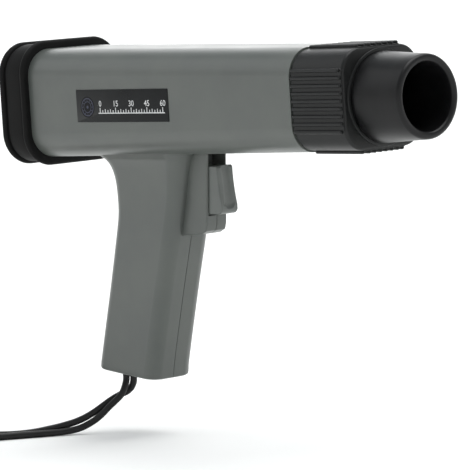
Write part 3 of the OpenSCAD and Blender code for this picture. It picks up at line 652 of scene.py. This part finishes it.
def makeCollar(material):
    x0, x1 = collar["x"], collar["x"] + collar["length"]
    rings = []
    for x, way, edge, turns in ((x0, 1, collar["rearEdge"], (90, 60, 30, 0)),
                                (x1, -1, collar["frontEdge"], (0, 30, 60, 90))):
        for a in turns:
            inset = edge * (1 - math.cos(math.radians(a)))
            rings.append((collar["w"] - 2 * inset, collar["h"] - 2 * inset, collar["r"] - inset,
                          acrossX(x + way * edge - way * edge * math.sin(math.radians(a)))))
    base = loft(rings, steps=12)
    base = combined(base, bar((x0 - 8, 0, 0), (x0 + 2, 0, 0), collar["spigot"], segments=96), "UNION")
    lip = turned([(x1 - 1, collar["lip"]), (x1 + 0.5, collar["lip"]), (x1 + 0.9, 22.6), (x1 + 0.9, 23.9),
                  (x1 + 0.7, 24.4), (x1 + 0.2, collar["bezelRing"]), (x1 - 1, collar["bezelRing"])])
    base = combined(base, lip, "UNION")
    for width, face, ribs, turns in ((collar["topPad"], collar["h"] / 2, collar["topRibs"], (0, 180)),
                                     (collar["sidePad"], collar["w"] / 2, collar["sideRibs"], (90, 270))):
        for turn in turns:
            plate, ribbing = padWithRibs(width, face, ribs, turn)
            base = combined(combined(base, plate, "UNION"), ribbing, "UNION")
    bore = turned([(x0 - 9, 0), (x0 - 9, collar["neck"]), (x0 + 3, collar["neck"]), (x0 + 3, collar["bore"]),
                   (x1 + 2, collar["bore"]), (x1 + 2, 0)])
    finishPiece("frontCollar", combined(base, bore), material,
                replaces=["front_collar"], sharp=38, weighted=True)


# Nozzle: a tapered tube with a rolled rim
nozzle = {"root": 23, "tip": 21.2, "bore": 17.1, "back": 214.7, "start": 242.65, "end": 273.9, "rim": 1.9}


def makeNozzle(material):
    rim = (nozzle["tip"] - nozzle["bore"]) / 2
    lip = [(nozzle["end"] - nozzle["rim"] + nozzle["rim"] * math.sin(math.radians(a)),
            nozzle["bore"] + rim - rim * math.cos(math.radians(a))) for a in range(0, 181, 20)]
    profile = ([(nozzle["back"], nozzle["bore"]), (nozzle["end"] - 6, nozzle["bore"])] + lip
               + [(nozzle["end"] - 9, nozzle["tip"] + 0.4), (nozzle["end"] - 20, nozzle["tip"] + 1.05),
                  (nozzle["start"] + 2.2, nozzle["root"] - 0.15), (nozzle["start"] + 0.8, nozzle["root"]),
                  (nozzle["start"] + 0.2, nozzle["root"] - 0.25), (nozzle["start"], nozzle["root"] - 0.85),
                  (nozzle["back"], 22.15)])
    finishPiece("nozzle", turned(profile, steps=128), material, replaces=["nozzle"],
                sharp=50)


# Glass-filled nylon, moulded black: satin, with broad grey highlights on every rib
collarBlack = grainedMaterial("mouldedNylonBlack", "#0f1010", "#181919", (0.36, 0.46), 0.8, 0.04, patch=12,
                              shader={"Specular IOR Level": 0.28})
# The same nylon, smoother where the tube slides in the hand
nozzleBlack = grainedMaterial("smoothNylonBlack", "#0c0c0d", "#141415", (0.3, 0.4), 1.2, 0.02, patch=16,
                              shader={"Specular IOR Level": 0.23})
makeCollar(collarBlack)
makeNozzle(nozzleBlack)
print("collar and nozzle made")


# Prints are drawn flat, x to the reader's right and y up, then laid on their face
def textShape(body, size, centre=(0, 0)):
    words = bpy.data.curves.new("words", "FONT")
    words.body, words.size, words.resolution_u = body, size, 3
    words.align_x, words.align_y = "CENTER", "CENTER"
    obj = bpy.data.objects.new("words", words)
    bpy.context.scene.collection.objects.link(obj)
    bpy.context.view_layer.update()
    mesh = bpy.data.meshes.new_from_object(obj.evaluated_get(bpy.context.evaluated_depsgraph_get()))
    bpy.data.objects.remove(obj)
    bm = bmesh.new()
    bm.from_mesh(mesh)
    bpy.data.meshes.remove(mesh)
    bmesh.ops.translate(bm, verts=bm.verts, vec=(centre[0], centre[1], 0))
    return bm


def stroke(start, end, width):
    start, end = Vector((*start, 0)), Vector((*end, 0))
    side = (end - start).normalized().cross(Vector((0, 0, 1))) * width / 2
    bm = bmesh.new()
    bm.faces.new([bm.verts.new(p) for p in (start - side, start + side, end + side, end - side)])
    return bm


def strokes(points, width):
    return [stroke(a, b, width) for a, b in zip(points, points[1:])]


def hoop(centre, radius, width, start=0, end=360, steps=32):
    turns = [math.radians(start + (end - start) * k / steps) for k in range(steps + 1)]
    bm = bmesh.new()
    edges = []
    for r in (radius - width / 2, radius + width / 2):
        verts = [bm.verts.new((centre[0] + r * math.cos(t), centre[1] + r * math.sin(t), 0)) for t in turns]
        edges += [bm.edges.new(pair) for pair in zip(verts, verts[1:])]
    bmesh.ops.bridge_loops(bm, edges=edges)
    bmesh.ops.remove_doubles(bm, verts=bm.verts, dist=0.0005)
    return bm


def disc(centre, radius):
    bm = bmesh.new()
    bmesh.ops.create_circle(bm, cap_ends=True, segments=32, radius=radius,
                            matrix=Matrix.Translation((*centre, 0)))
    return bm


# Ink film of a real thickness from flat shapes
def inked(shapes, thickness, place):
    bm = gather(shapes)
    for face in bm.faces:
        face.normal_update()
    bmesh.ops.reverse_faces(bm, faces=[f for f in bm.faces if f.normal.z < 0])
    grown = bmesh.ops.extrude_face_region(bm, geom=bm.faces[:], use_keep_orig=True)
    bmesh.ops.translate(bm, verts=newVerts(grown), vec=(0, 0, thickness))
    bmesh.ops.recalc_face_normals(bm, faces=bm.faces)
    bmesh.ops.transform(bm, verts=bm.verts, matrix=place)
    return bm


# Rear panel, with its display, lamps and keys
panel = {"face": -20.25, "ink": 0.06, "windowUp": 12.2, "windowW": 41, "windowH": 13.6, "displayX": -19.1,
         "keys": [("mode", 17.4, -12.5), ("plus", 5.8, -11.4), ("minus", -5.8, -11.4), ("stroke", -17.4, -12.5)],
         "lamps": [(15.8, "ring"), (5.3, "off"), (-5.3, "off"), (-15.8, "full")], "lampR": 1.5,
         "keyW": 10.5, "keyH": 10, "keyFront": -20.9, "keyBack": -19, "keyDome": 0.22}


def onPanel(x):
    return Matrix(((0, 0, -1, x), (-1, 0, 0, 0), (0, 1, 0, 0), (0, 0, 0, 1)))


panelMarks = {
    "block": [(-19.2, 3.1), (-19.2, 5), (-17.6, 5), (-17.6, 5.6), (-14.4, 5.6), (-14.4, 5), (-12.9, 5),
              (-12.9, 3.1), (-19.2, 3.1)],
    "dial": (-5.3, 4.2), "dialR": 1.35, "needle": (-3.9, 5.9), "needleW": 0.4, "line": 0.35,
    "numbers": [("2", (5.3, 4.3)), ("4", (15.8, 4.3))], "numberH": 2.9,
    "rule": (22.5, 15.4), "ruleY": -4.2, "ruleW": 0.45,
    "ticks": 12, "pitch": 1.1, "foot": -5.3, "long": -3.1, "short": -4.2, "base": 13.4, "tickW": 0.3}


def makePanelPrint(material):
    marks = panelMarks
    shapes = strokes(marks["block"], marks["line"])
    shapes += [hoop(marks["dial"], marks["dialR"], marks["line"], 20, 320),
               stroke(marks["dial"], marks["needle"], marks["needleW"])]
    shapes += [textShape(number, marks["numberH"], place) for number, place in marks["numbers"]]
    for x in (-1, 1):  # plain rule on each side of a small timing scale
        shapes.append(stroke(*((x * end, marks["ruleY"]) for end in marks["rule"]), marks["ruleW"]))
    for k in range(-marks["ticks"], marks["ticks"] + 1):
        x, top = k * marks["pitch"], marks["long"] if k % 4 == 0 else marks["short"]
        shapes.append(stroke((x, marks["foot"]), (x, top), marks["tickW"]))
    shapes.append(stroke((-marks["base"], marks["foot"]), (marks["base"], marks["foot"]), marks["tickW"]))
    bm = inked(shapes, panel["ink"], onPanel(panel["face"]))
    finishPiece("panelPrint", bm, material, merged=False)


def diamond(width, height):
    return [(width / 2, 0), (0, height / 2), (-width / 2, 0), (0, -height / 2)]


# Legends: a gauge, plus, minus, and the number of strokes
def keyLegend(name):
    if name == "mode":
        return [hoop((0, 0.2), 1.35, 0.4, -40, 220), stroke((0, 0.2), (0.9, 1.1), 0.4),
                stroke((-1.1, -1.3), (1.1, -1.3), 0.4)]
    if name == "stroke":
        return [textShape("4/2", 2.7)]
    across = [stroke((-1.7, 0), (1.7, 0), 0.6)]
    if name == "plus":  # the upright is in two, clear of the bar
        return across + [stroke((0, -1.7), (0, -0.3), 0.6), stroke((0, 0.3), (0, 1.7), 0.6)]
    return across


def makeKey(name, y, z, keyMaterial, inkMaterial):
    bm = bmesh.new()
    face = bm.faces.new([bm.verts.new((a, b, 0)) for a, b in diamond(panel["keyW"], panel["keyH"])])
    bmesh.ops.bevel(bm, geom=face.verts[:], offset=1.0, offset_type="OFFSET", segments=4, profile=0.5,
                    affect="VERTICES", material=-1)
    face = bm.faces[:][0]
    face.normal_update()
    if face.normal.z < 0:
        bmesh.ops.reverse_faces(bm, faces=[face])
    bmesh.ops.inset_region(bm, faces=[face], thickness=0.25, depth=panel["keyDome"], use_even_offset=True)
    rim = [e for e in bm.edges if e.is_boundary]
    walls = newVerts(bmesh.ops.extrude_edge_only(bm, edges=rim))
    shoulder = panel["keyFront"] + panel["keyDome"]
    bmesh.ops.translate(bm, verts=walls, vec=(0, 0, shoulder - panel["keyBack"]))
    bmesh.ops.contextual_create(bm, geom=[e for e in bm.edges if e.is_boundary])
    bmesh.ops.recalc_face_normals(bm, faces=bm.faces)
    place = Matrix.Translation((0, y, z)) @ onPanel(shoulder)
    bmesh.ops.transform(bm, verts=bm.verts, matrix=place)
    inkPlace = Matrix.Translation((0, y, z)) @ onPanel(panel["keyFront"] + 0.04)
    frameLine = diamond(panel["keyW"] - 2.2, panel["keyH"] - 2.1)
    legend = inked(keyLegend(name) + strokes(frameLine + frameLine[:1], 0.32), 0.05, inkPlace)
    for face in legend.faces:
        face.material_index = 1
    finishPiece(name + "Key", gather([bm, legend]), [keyMaterial, inkMaterial], body=name + "_key",
                replaces=[name + "_key"], sharp=30)


# One lamp shines all over, one only round its rim; round both, a painted red glow stands for their light on the
# film
def makeLamps(dark, lit, halo):
    parts, halos = [], []
    for y, state in panel["lamps"]:
        x, r = -20.0, panel["lampR"]
        turns = [math.radians(a) for a in (20, 40, 60, 80, 90)]
        cap = [(x - 0.55 * math.sin(t), r * math.cos(t)) for t in turns]
        lamp = turned([(-13, 0), (-13, r), (x, r)] + cap, steps=32, centre=(0, y, 0))
        for face in lamp.faces:
            middle = face.calc_center_median()
            rim = math.hypot(middle.y - y, middle.z) > r * 0.6
            face.material_index = int(middle.x < -19 and (state == "full" or (state == "ring" and rim)))
        parts.append(lamp)
        if state != "off":
            halos.append(hoop((-y, 0), 2.05, 0.8))
    finishPiece("indicatorLamps", gather(parts), [dark, lit], replaces=["indicator_leds"])
    finishPiece("lampHalos", inked(halos, 0.03, onPanel(panel["face"])), halo)


# Seven-segment digits
digit = {"pitch": 10.05, "w": 6.1, "h": 10.2, "bar": 1.4, "slant": 0.13, "gap": 0.12}


def segment(centre, length, upright):
    half, thick = length / 2 - digit["gap"], digit["bar"] / 2
    outline = [(-half, 0), (-half + thick, thick), (half - thick, thick), (half, 0), (half - thick, -thick),
               (-half + thick, -thick)]
    bm = bmesh.new()
    points = [(b, a) if upright else (a, b) for a, b in outline]
    bm.faces.new([bm.verts.new((centre[0] + a + digit["slant"] * (centre[1] + b), centre[1] + b, 0))
                  for a, b in points])
    return bm


def makeDigits(litMaterial, offMaterial):
    w, h = digit["w"] - digit["bar"], digit["h"] - digit["bar"]
    lit, off = [], []
    for k in range(4):
        x = (k - 1.5) * digit["pitch"] - 0.3
        for y in (-h / 2, h / 2):
            lit.append(segment((x, y), w, False))
        for side in (-1, 1):
            for y in (-h / 4, h / 4):
                lit.append(segment((x + side * w / 2, y), h / 2, True))
        off.append(segment((x, 0), w, False))
        off.append(disc((x + w / 2 + 1.3 - digit["slant"] * h / 2, -h / 2), 0.55))
    for name, shapes, material in (("litSegments", lit, litMaterial), ("darkSegments", off, offMaterial)):
        lift = Matrix.Translation((0, 0, panel["windowUp"])) @ onPanel(panel["displayX"])
        finishPiece(name, inked(shapes, 0.05, lift), material)


def makeWindow(material):
    w, h = panel["windowW"] / 2, panel["windowH"] / 2
    bm = block((-20.45, -w, panel["windowUp"] - h), (-19.45, w, panel["windowUp"] + h), 0.18, 2)
    finishPiece("displayWindow", bm, material, replaces=["display_window"])


# Polyester overlay, back printed: near black with a faint blue cast and a fine satin texture
overlayBlack = grainedMaterial("overlayFilmBlack", "#0b0e12", "#12151a", (0.36, 0.46), 0.7, 0.02, patch=10,
                              shader={"Specular IOR Level": 0.2})
# Silk-screened ink: off-white, slightly uneven in cover
inkWhite = grainedMaterial("screenInkWhite", "#c9cbcc", "#dddedd", (0.5, 0.6), 1.5, 0.01, patch=4)
# The same ink in grey, quieter than the marks beside it
inkGrey = grainedMaterial("screenInkGrey", "#7f8588", "#93999b", (0.5, 0.6), 1.5, 0.01, patch=4)


# Tinted acrylic: deep red and clear, so the lit bars glow through it
def redAcrylic():
    material, tree, principled = startMaterial("tintedAcrylicRed", {
        "Base Color": linear("#ee5246"), "Transmission Weight": 1.0, "Roughness": 0.04, "IOR": 1.49,
        "Specular IOR Level": 0.25})
    wave = addNode(tree, "Bump", {"Height": noiseOf(tree, 9, 1), "Strength": 0.15, "Distance": 0.02 * mm})
    tree.links.new(wave.outputs["Normal"], principled.inputs["Normal"])
    return material


# Light-emitting diode: hot centre and red bloom, with patches a quarter duller along each bar; also used for
# painted glow on parts that are no lamps
def glowing(name, colour, strength):
    material, tree, principled = startMaterial(name, {"Roughness": 0.3, "Emission Strength": strength})
    tone = colourBetween(tree, noiseOf(tree, 3, 1), colour, colour)
    tone.node.color_ramp.elements[0].color = [c * 0.75 for c in linear(colour)[:3]] + [1]
    tree.links.new(tone, principled.inputs["Base Color"])
    tree.links.new(tone, principled.inputs["Emission Color"])
    return material


# Bars of the digits: almost white-hot behind the red window
litRed = glowing("diodeRedLit", "#ff9f80", 26)
# Small lamp seen bare: softer and redder
lampLit = glowing("lampRedLit", "#ff7a64", 7)
# Painted glow: red light of a lit lamp, painted as emission on the film round it
lampHalo = glowing("filmRedGlow", "#c41414", 0.8)
# Unlit diode resin: dull blood red
diodeOff = grainedMaterial("diodeResinDark", "#3a0a09", "#4a0f0d", (0.3, 0.4), 1.5, 0.01, patch=3)
# Face of the digit module: dark, with a painted red glow, emission that stands for the light of its own digits
displayFaceGlow = glowing("displayFacePaintedGlow", "#a80c0a", 0.45)

makePanelPrint(inkWhite)
for name, y, z in panel["keys"]:
    makeKey(name, y, z, overlayBlack, inkGrey)
makeLamps(diodeOff, lampLit, lampHalo)
makeDigits(litRed, diodeOff)
makeWindow(redAcrylic())
print("panel, display and keys made")


# Plate on the side: a plain timing scale in degrees, with a plain dial before it
scaleMarks = {"from": 17.8, "to": 70.7, "foot": -3.9, "line": 0.5, "first": 19.2, "pitch": 2.08, "count": 25,
              "long": -1, "middle": -1.8, "short": -2.3, "numbers": ("0", "15", "30", "45", "60"),
              "numberH": 4.4, "numberX": 19.4, "numberPitch": 12.48, "numberY": 1}
dialMarks = {"centre": (9, -0.6), "back": 5.6, "rim": 4.6, "rimW": 0.5, "inner": 2.9, "line": 0.35, "hub": 0.8,
             "spokes": 12, "spokeFrom": 3.3, "spokeTo": 4.2}


def scaleShapes():
    marks = scaleMarks
    shapes = [stroke((marks["from"], marks["foot"]), (marks["to"], marks["foot"]), marks["line"])]
    for k in range(marks["count"]):
        x = marks["first"] + marks["pitch"] * k
        top = marks["long"] if k % 6 == 0 else marks["short" if k % 2 else "middle"]
        shapes.append(stroke((x, marks["foot"]), (x, top), marks["line"]))
    for k, number in enumerate(marks["numbers"]):
        place = (marks["numberX"] + marks["numberPitch"] * k, marks["numberY"])
        shapes.append(textShape(number, marks["numberH"], place))
    return shapes


def dialShapes():
    marks, centre = dialMarks, dialMarks["centre"]
    shapes = [hoop(centre, marks["rim"], marks["rimW"]), hoop(centre, marks["inner"], marks["line"]),
              disc(centre, marks["hub"])]
    for k in range(marks["spokes"]):
        turn = 2 * math.pi * k / marks["spokes"]
        out = Vector((math.cos(turn), math.sin(turn)))
        shapes.append(stroke(*(out * r + Vector(centre) for r in (marks["spokeFrom"], marks["spokeTo"])),
                             marks["line"]))
    return shapes


def makeLabel(plateMaterial, inkMaterial, dimMaterial, darkMaterial):
    plate = block((0.1, -label["proud"], -label["h"] / 2 + 0.1),
                  (label["length"] - 0.1, 0.3, label["h"] / 2 - 0.1))
    bevelled(plate, [e for e in plate.edges if runsAlong(e, "y")], 0.7, 4)
    bevelled(plate, [e for e in plate.edges if all(v.co.y < 0 for v in e.verts)], 0.1, 2)
    bmesh.ops.transform(plate, verts=plate.verts, matrix=labelTurn())
    finishPiece("nameLabel", plate, plateMaterial, replaces=["name_label"], sharp=30)
    face = labelTurn() @ Matrix(((1, 0, 0, 0), (0, 0, -1, -label["proud"]), (0, 1, 0, 0), (0, 0, 0, 1)))
    backing = [disc(dialMarks["centre"], dialMarks["back"])]
    for name, shapes, thickness, material in (("labelScale", scaleShapes(), 0.05, inkMaterial),
                                              ("labelDial", dialShapes(), 0.05, dimMaterial),
                                              ("labelDialBack", backing, 0.02, darkMaterial)):
        finishPiece(name, inked(shapes, thickness, face), material, merged=False)


# Laminated vinyl plate: charcoal, glossy, with the faint ripple of its adhesive
labelBlack = grainedMaterial("laminatedVinylCharcoal", "#121415", "#181a1b", (0.26, 0.34), 5, 0.02, patch=14,
                             shader={"Specular IOR Level": 0.18})
# Slate-blue ink: the dial shows only where light catches it
inkSlate = grainedMaterial("screenInkSlate", "#22263a", "#2c3048", (0.4, 0.5), 1.5, 0.01, patch=4)
# Midnight ink under the dial: darker and duller than the plate round it
inkMidnight = grainedMaterial("screenInkMidnight", "#05060a", "#090a10", (0.4, 0.5), 1.5, 0.01, patch=4,
                              shader={"Specular IOR Level": 0.15})
makeLabel(labelBlack, inkWhite, inkSlate, inkMidnight)
print("label made")


# Trigger: face, flare and tip are x places down its front; the scoop is where the finger lies
trigger = {"w": 11.4, "back": 95, "top": -34.9, "foot": -60.4, "brow": 119.7, "face": 120.6, "flare": 2.2,
           "tip": 122.9, "toe": 3.2, "scoop": 1.4, "scoopR": 6.4, "scoopTop": (120.3, 8),
           "scoopFoot": (122.7, 6.4), "edge": 0.7}


def makeTrigger(material):
    front = [(trigger["face"] + trigger["flare"] * (t / 5) ** 2, trigger["top"] - 1 - 4 * t)
             for t in range(6)]
    toe = [(trigger["tip"] - trigger["toe"] + trigger["toe"] * math.cos(math.radians(a)),
            trigger["foot"] + trigger["toe"] - trigger["toe"] * math.sin(math.radians(a)))
           for a in (18, 36, 54, 72, 90)]
    behind = [(trigger["back"], trigger["foot"]), (trigger["back"], trigger["top"])]
    outline = behind + [(trigger["brow"], trigger["top"])] + front + toe
    body = slab(outline, trigger["w"], trigger["edge"])
    shoulder = block((trigger["back"], -trigger["w"] / 2, trigger["top"] - 1),
                     (trigger["back"] + 10, trigger["w"] / 2, trigger["top"] + 6.1), 0.5)
    body = combined(body, shoulder, "UNION")
    depth = trigger["scoopR"] - trigger["scoop"]
    (topX, above), (footX, up) = trigger["scoopTop"], trigger["scoopFoot"]
    finger = bar((topX + depth, 0, trigger["top"] + above), (footX + depth, 0, trigger["foot"] + up),
                 trigger["scoopR"], segments=64, domed=True)
    finishPiece("trigger", combined(body, finger), material, body="trigger",
                replaces=["trigger"], sharp=40, weighted=True)


# Acetal, moulded mid grey: a touch shinier than the casing where the finger has polished it
triggerGrey = grainedMaterial("mouldedAcetalGrey", "#565a57", "#5d615e", (0.3, 0.4), 1.0, 0.015, patch=12)
makeTrigger(triggerGrey)
print("trigger made")


# Grommet that both leads leave by
grommet = {"x": 32.1, "long": 11.6, "wide": 7.2, "r": 3.59, "face": -149, "top": -139.5}


def makeGrommet(material):
    def level(z, inset=0):
        return (grommet["long"] - 2 * inset, grommet["wide"] - 2 * inset, grommet["r"] - inset,
                lambda p: Vector((grommet["x"] + p.x, p.y, z)))
    body = loft([level(grommet["top"]), level(grommet["face"] + 0.7), level(grommet["face"] + 0.25, 0.2),
                 level(grommet["face"], 0.7)])
    for side in (-2, 2):
        collarRing = bar((grommet["x"] + side * 1.0, 0, grommet["face"] + 1),
                         (grommet["x"] + side * 1.0, 0, grommet["face"] - 1.6), 2.9, 2.2)
        body = combined(body, collarRing, "UNION")
    finishPiece("cableGrommet", body, material, replaces=["cable_grommet"], sharp=45)


makeGrommet(bootRubber)
print("grommet made")


# Clip springs: x, y, z and the side they face; heights are above the clip
clipSpring = {"red": (-146, -50, -171.4, -1), "black": (-146, -8, -179.8, 1), "r": 2.3, "wire": 0.55,
              "low": 4.2, "high": 7.8, "turns": 3, "leg": 17, "legWire": 0.5, "legTurn": 163}
clampSpring = {"x": -68.5, "z": -165.4, "y": (-71.1, -59.9), "r": 2.8, "wire": 0.4, "turns": 5, "keep": 0.34}


# Wound wire: a round section screwed along an axis, ends closed
def wound(start, radius, wire, length, turns, steps=24):
    bm = bmesh.new()
    bmesh.ops.create_circle(bm, segments=12, radius=wire, matrix=Matrix.Translation((radius, 0, start))
                            @ Matrix.Rotation(math.radians(90), 4, "X"))
    count = round(turns * steps)
    bmesh.ops.spin(bm, geom=bm.verts[:] + bm.edges[:], cent=(0, 0, 0), axis=(0, 0, 1),
                   dvec=(0, 0, length / count), angle=2 * math.pi * turns, steps=count)
    bmesh.ops.holes_fill(bm, edges=[e for e in bm.edges if e.is_boundary], sides=0)
    bmesh.ops.recalc_face_normals(bm, faces=bm.faces)
    return bm


# The leg that presses on the jaw turns with it
def makeClipSpring(colour, material):
    x, y, z, side = clipSpring[colour]
    place = Matrix.Translation((x, y, z)) @ Matrix.Diagonal((-1, side, 1, 1))
    legs = []
    for way, height in ((-1, clipSpring["low"]), (1, clipSpring["high"])):
        turn = math.radians(clipSpring["legTurn"])
        foot = Vector((-1, way * clipSpring["r"], height))
        tip = foot + Vector((math.cos(turn), way * math.sin(turn), 0)) * clipSpring["leg"]
        legs.append(bar(foot, tip, clipSpring["legWire"], segments=14))
    winding = wound(clipSpring["low"], clipSpring["r"], clipSpring["wire"],
                    clipSpring["high"] - clipSpring["low"], clipSpring["turns"])
    for name, bm, body in ((colour + "ClipSpring", gather([winding, legs[0]]), "gun"),
                           (colour + "ClipSpringLeg", legs[1], colour + "_jaw")):
        bmesh.ops.transform(bm, verts=bm.verts, matrix=place)
        bmesh.ops.recalc_face_normals(bm, faces=bm.faces)
        finishPiece(name, bm, material, body=body,
                    replaces=[colour + "_clip_spring"] if body == "gun" else ())


def makeClampSpring(material):
    low, high = clampSpring["y"]
    bm = wound(0, clampSpring["r"], clampSpring["wire"], high - low, clampSpring["turns"])
    foot = (clampSpring["x"], low, clampSpring["z"])
    lay = Matrix.Translation(foot) @ Matrix.Rotation(math.radians(-90), 4, "X")
    bmesh.ops.transform(bm, verts=bm.verts, matrix=lay)
    spring = finishPiece("pickupClampSpring", bm, material, replaces=["pickup_spring"])
    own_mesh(spring)
    return spring


# Finishes of the parts that stay as they come
def metal(name, dark, light, rough, grain, stretch=(1, 1, 1)):
    return grainedMaterial(name, dark, light, rough, grain, 0.01, patch=6, shader={"Metallic": 1.0},
                           stretch=stretch)


def clear(name, colour, rough, ior):
    material, tree, principled = startMaterial(name, {
        "Base Color": linear(colour), "Transmission Weight": 1.0, "IOR": ior})
    tree.links.new(spread(tree, noiseOf(tree, 5), rough, rough + 0.04), principled.inputs["Roughness"])
    return material


finishes = {
    # Zinc-plated steel: pale, slightly blue, fine wire-drawn streaks
    "bright": metal("zincPlatedSteel", "#a9abad", "#c4c6c8", (0.22, 0.36), 0.5, (1, 1, 8)),
    # Nickel-plated pressing: warm silver with dulled edges
    "nickel": metal("nickelPlatedSteel", "#9c9a95", "#bcbab4", (0.24, 0.4), 0.8, (1, 6, 1)),
    # Vacuum-coated mirror: nearly white, very smooth
    "mirror": metal("vacuumCoatedMirror", "#dfe2e4", "#eef0f1", (0.04, 0.09), 6),
    # Glass-epoxy board: green solder mask over a woven ground
    "board": grainedMaterial("solderMaskGreen", "#1f5a30", "#2b6d3c", (0.3, 0.45), 0.6, 0.02, patch=5),
    # Shrink sleeve: dark blue, slick
    "sleeve": grainedMaterial("shrinkSleeveBlue", "#1c2848", "#26345a", (0.2, 0.32), 3, 0.02, patch=9),
    # Polyester winding tape: amber yellow, slightly glossy
    "tape": grainedMaterial("windingTapeAmber", "#b98d1c", "#cfa430", (0.28, 0.4), 2.2, 0.04, patch=6),
    # Fired steatite: cream, dry and matt
    "ceramic": grainedMaterial("firedSteatite", "#ddd7ca", "#e9e4d9", (0.6, 0.75), 0.8, 0.02, patch=7),
    # Sintered ferrite: charcoal, gritty, with a dull metallic cast
    "ferrite": grainedMaterial("sinteredFerrite", "#2c2d30", "#3c3d41", (0.4, 0.55), 0.6, 0.05, patch=4,
                               shader={"Metallic": 0.35}),
    # Dipped vinyl sleeves: soft and waxy, with drip-like unevenness
    "redSleeve": grainedMaterial("dippedVinylRed", "#8f1411", "#a91d18", (0.34, 0.48), 2.4, 0.08, patch=8),
    "blackSleeve": grainedMaterial("dippedVinylBlack", "#171718", "#212122", (0.34, 0.48), 2.4, 0.08, patch=8),
    # Nylon strap: black, toothed, faintly translucent at the edge
    "strap": grainedMaterial("nylonStrapBlack", "#18181a", "#232326", (0.38, 0.5), 0.9, 0.05, patch=5),
    # Moulded switch and clamp bodies: dense matt black
    "bodyBlack": grainedMaterial("mouldedPolyamideBlack", "#19191b", "#232325", (0.42, 0.56), 0.9, 0.04,
                                 patch=9),
    # Pressed glass: clear, with a faint haze from the mould
    "lens": clear("pressedGlass", "#eef6f7", 0.02, 1.52),
    # Fused quartz: clearer and smoother than the lens
    "tube": clear("quartzTube", "#f4f8f8", 0.01, 1.46),
}
for colour in ("red", "black"):
    makeClipSpring(colour, finishes["bright"])
clampSpringPiece = makeClampSpring(finishes["bright"])
print("springs wound")
nodeFinish = {
    "keypad_panel": overlayBlack, "led_display": displayFaceGlow, "display_board": finishes["board"],
    "main_board": finishes["board"], "tact_switches": finishes["bright"], "shell_screws": finishes["bright"],
    "trigger_spring": finishes["bright"], "storage_capacitor": finishes["sleeve"],
    "pulse_transformer": finishes["tape"], "reflector": finishes["mirror"], "xenon_tube": finishes["tube"],
    "lamp_socket": finishes["ceramic"], "focus_lens": finishes["lens"], "trigger_switch": finishes["bodyBlack"],
    "pickup_tie": finishes["strap"], "battery_tie": finishes["strap"], "lead_splitter": bootRubber,
    "base_ferrite": finishes["ferrite"], "jaw_ferrite": finishes["ferrite"],
    "pickup_base": finishes["bodyBlack"], "pickup_jaw": finishes["bodyBlack"],
    "pickup_pin": finishes["bright"],
}
for colour in ("red", "black"):
    for ending in ("clip_base", "clip_jaw"):
        nodeFinish[f"{colour}_{ending}"] = finishes["nickel"]
    nodeFinish[f"{colour}_clip_pin"] = finishes["bright"]
    for ending in ("base_grip", "jaw_grip"):
        nodeFinish[f"{colour}_{ending}"] = finishes[colour + "Sleeve"]
for nodeName, material in nodeFinish.items():
    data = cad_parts[nodeName].data
    data.materials.clear()
    data.materials.append(material)
bare = [n for n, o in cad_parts.items() if not o.hide_render and n not in nodeFinish]
print("finishes given; nodes without one:", bare)
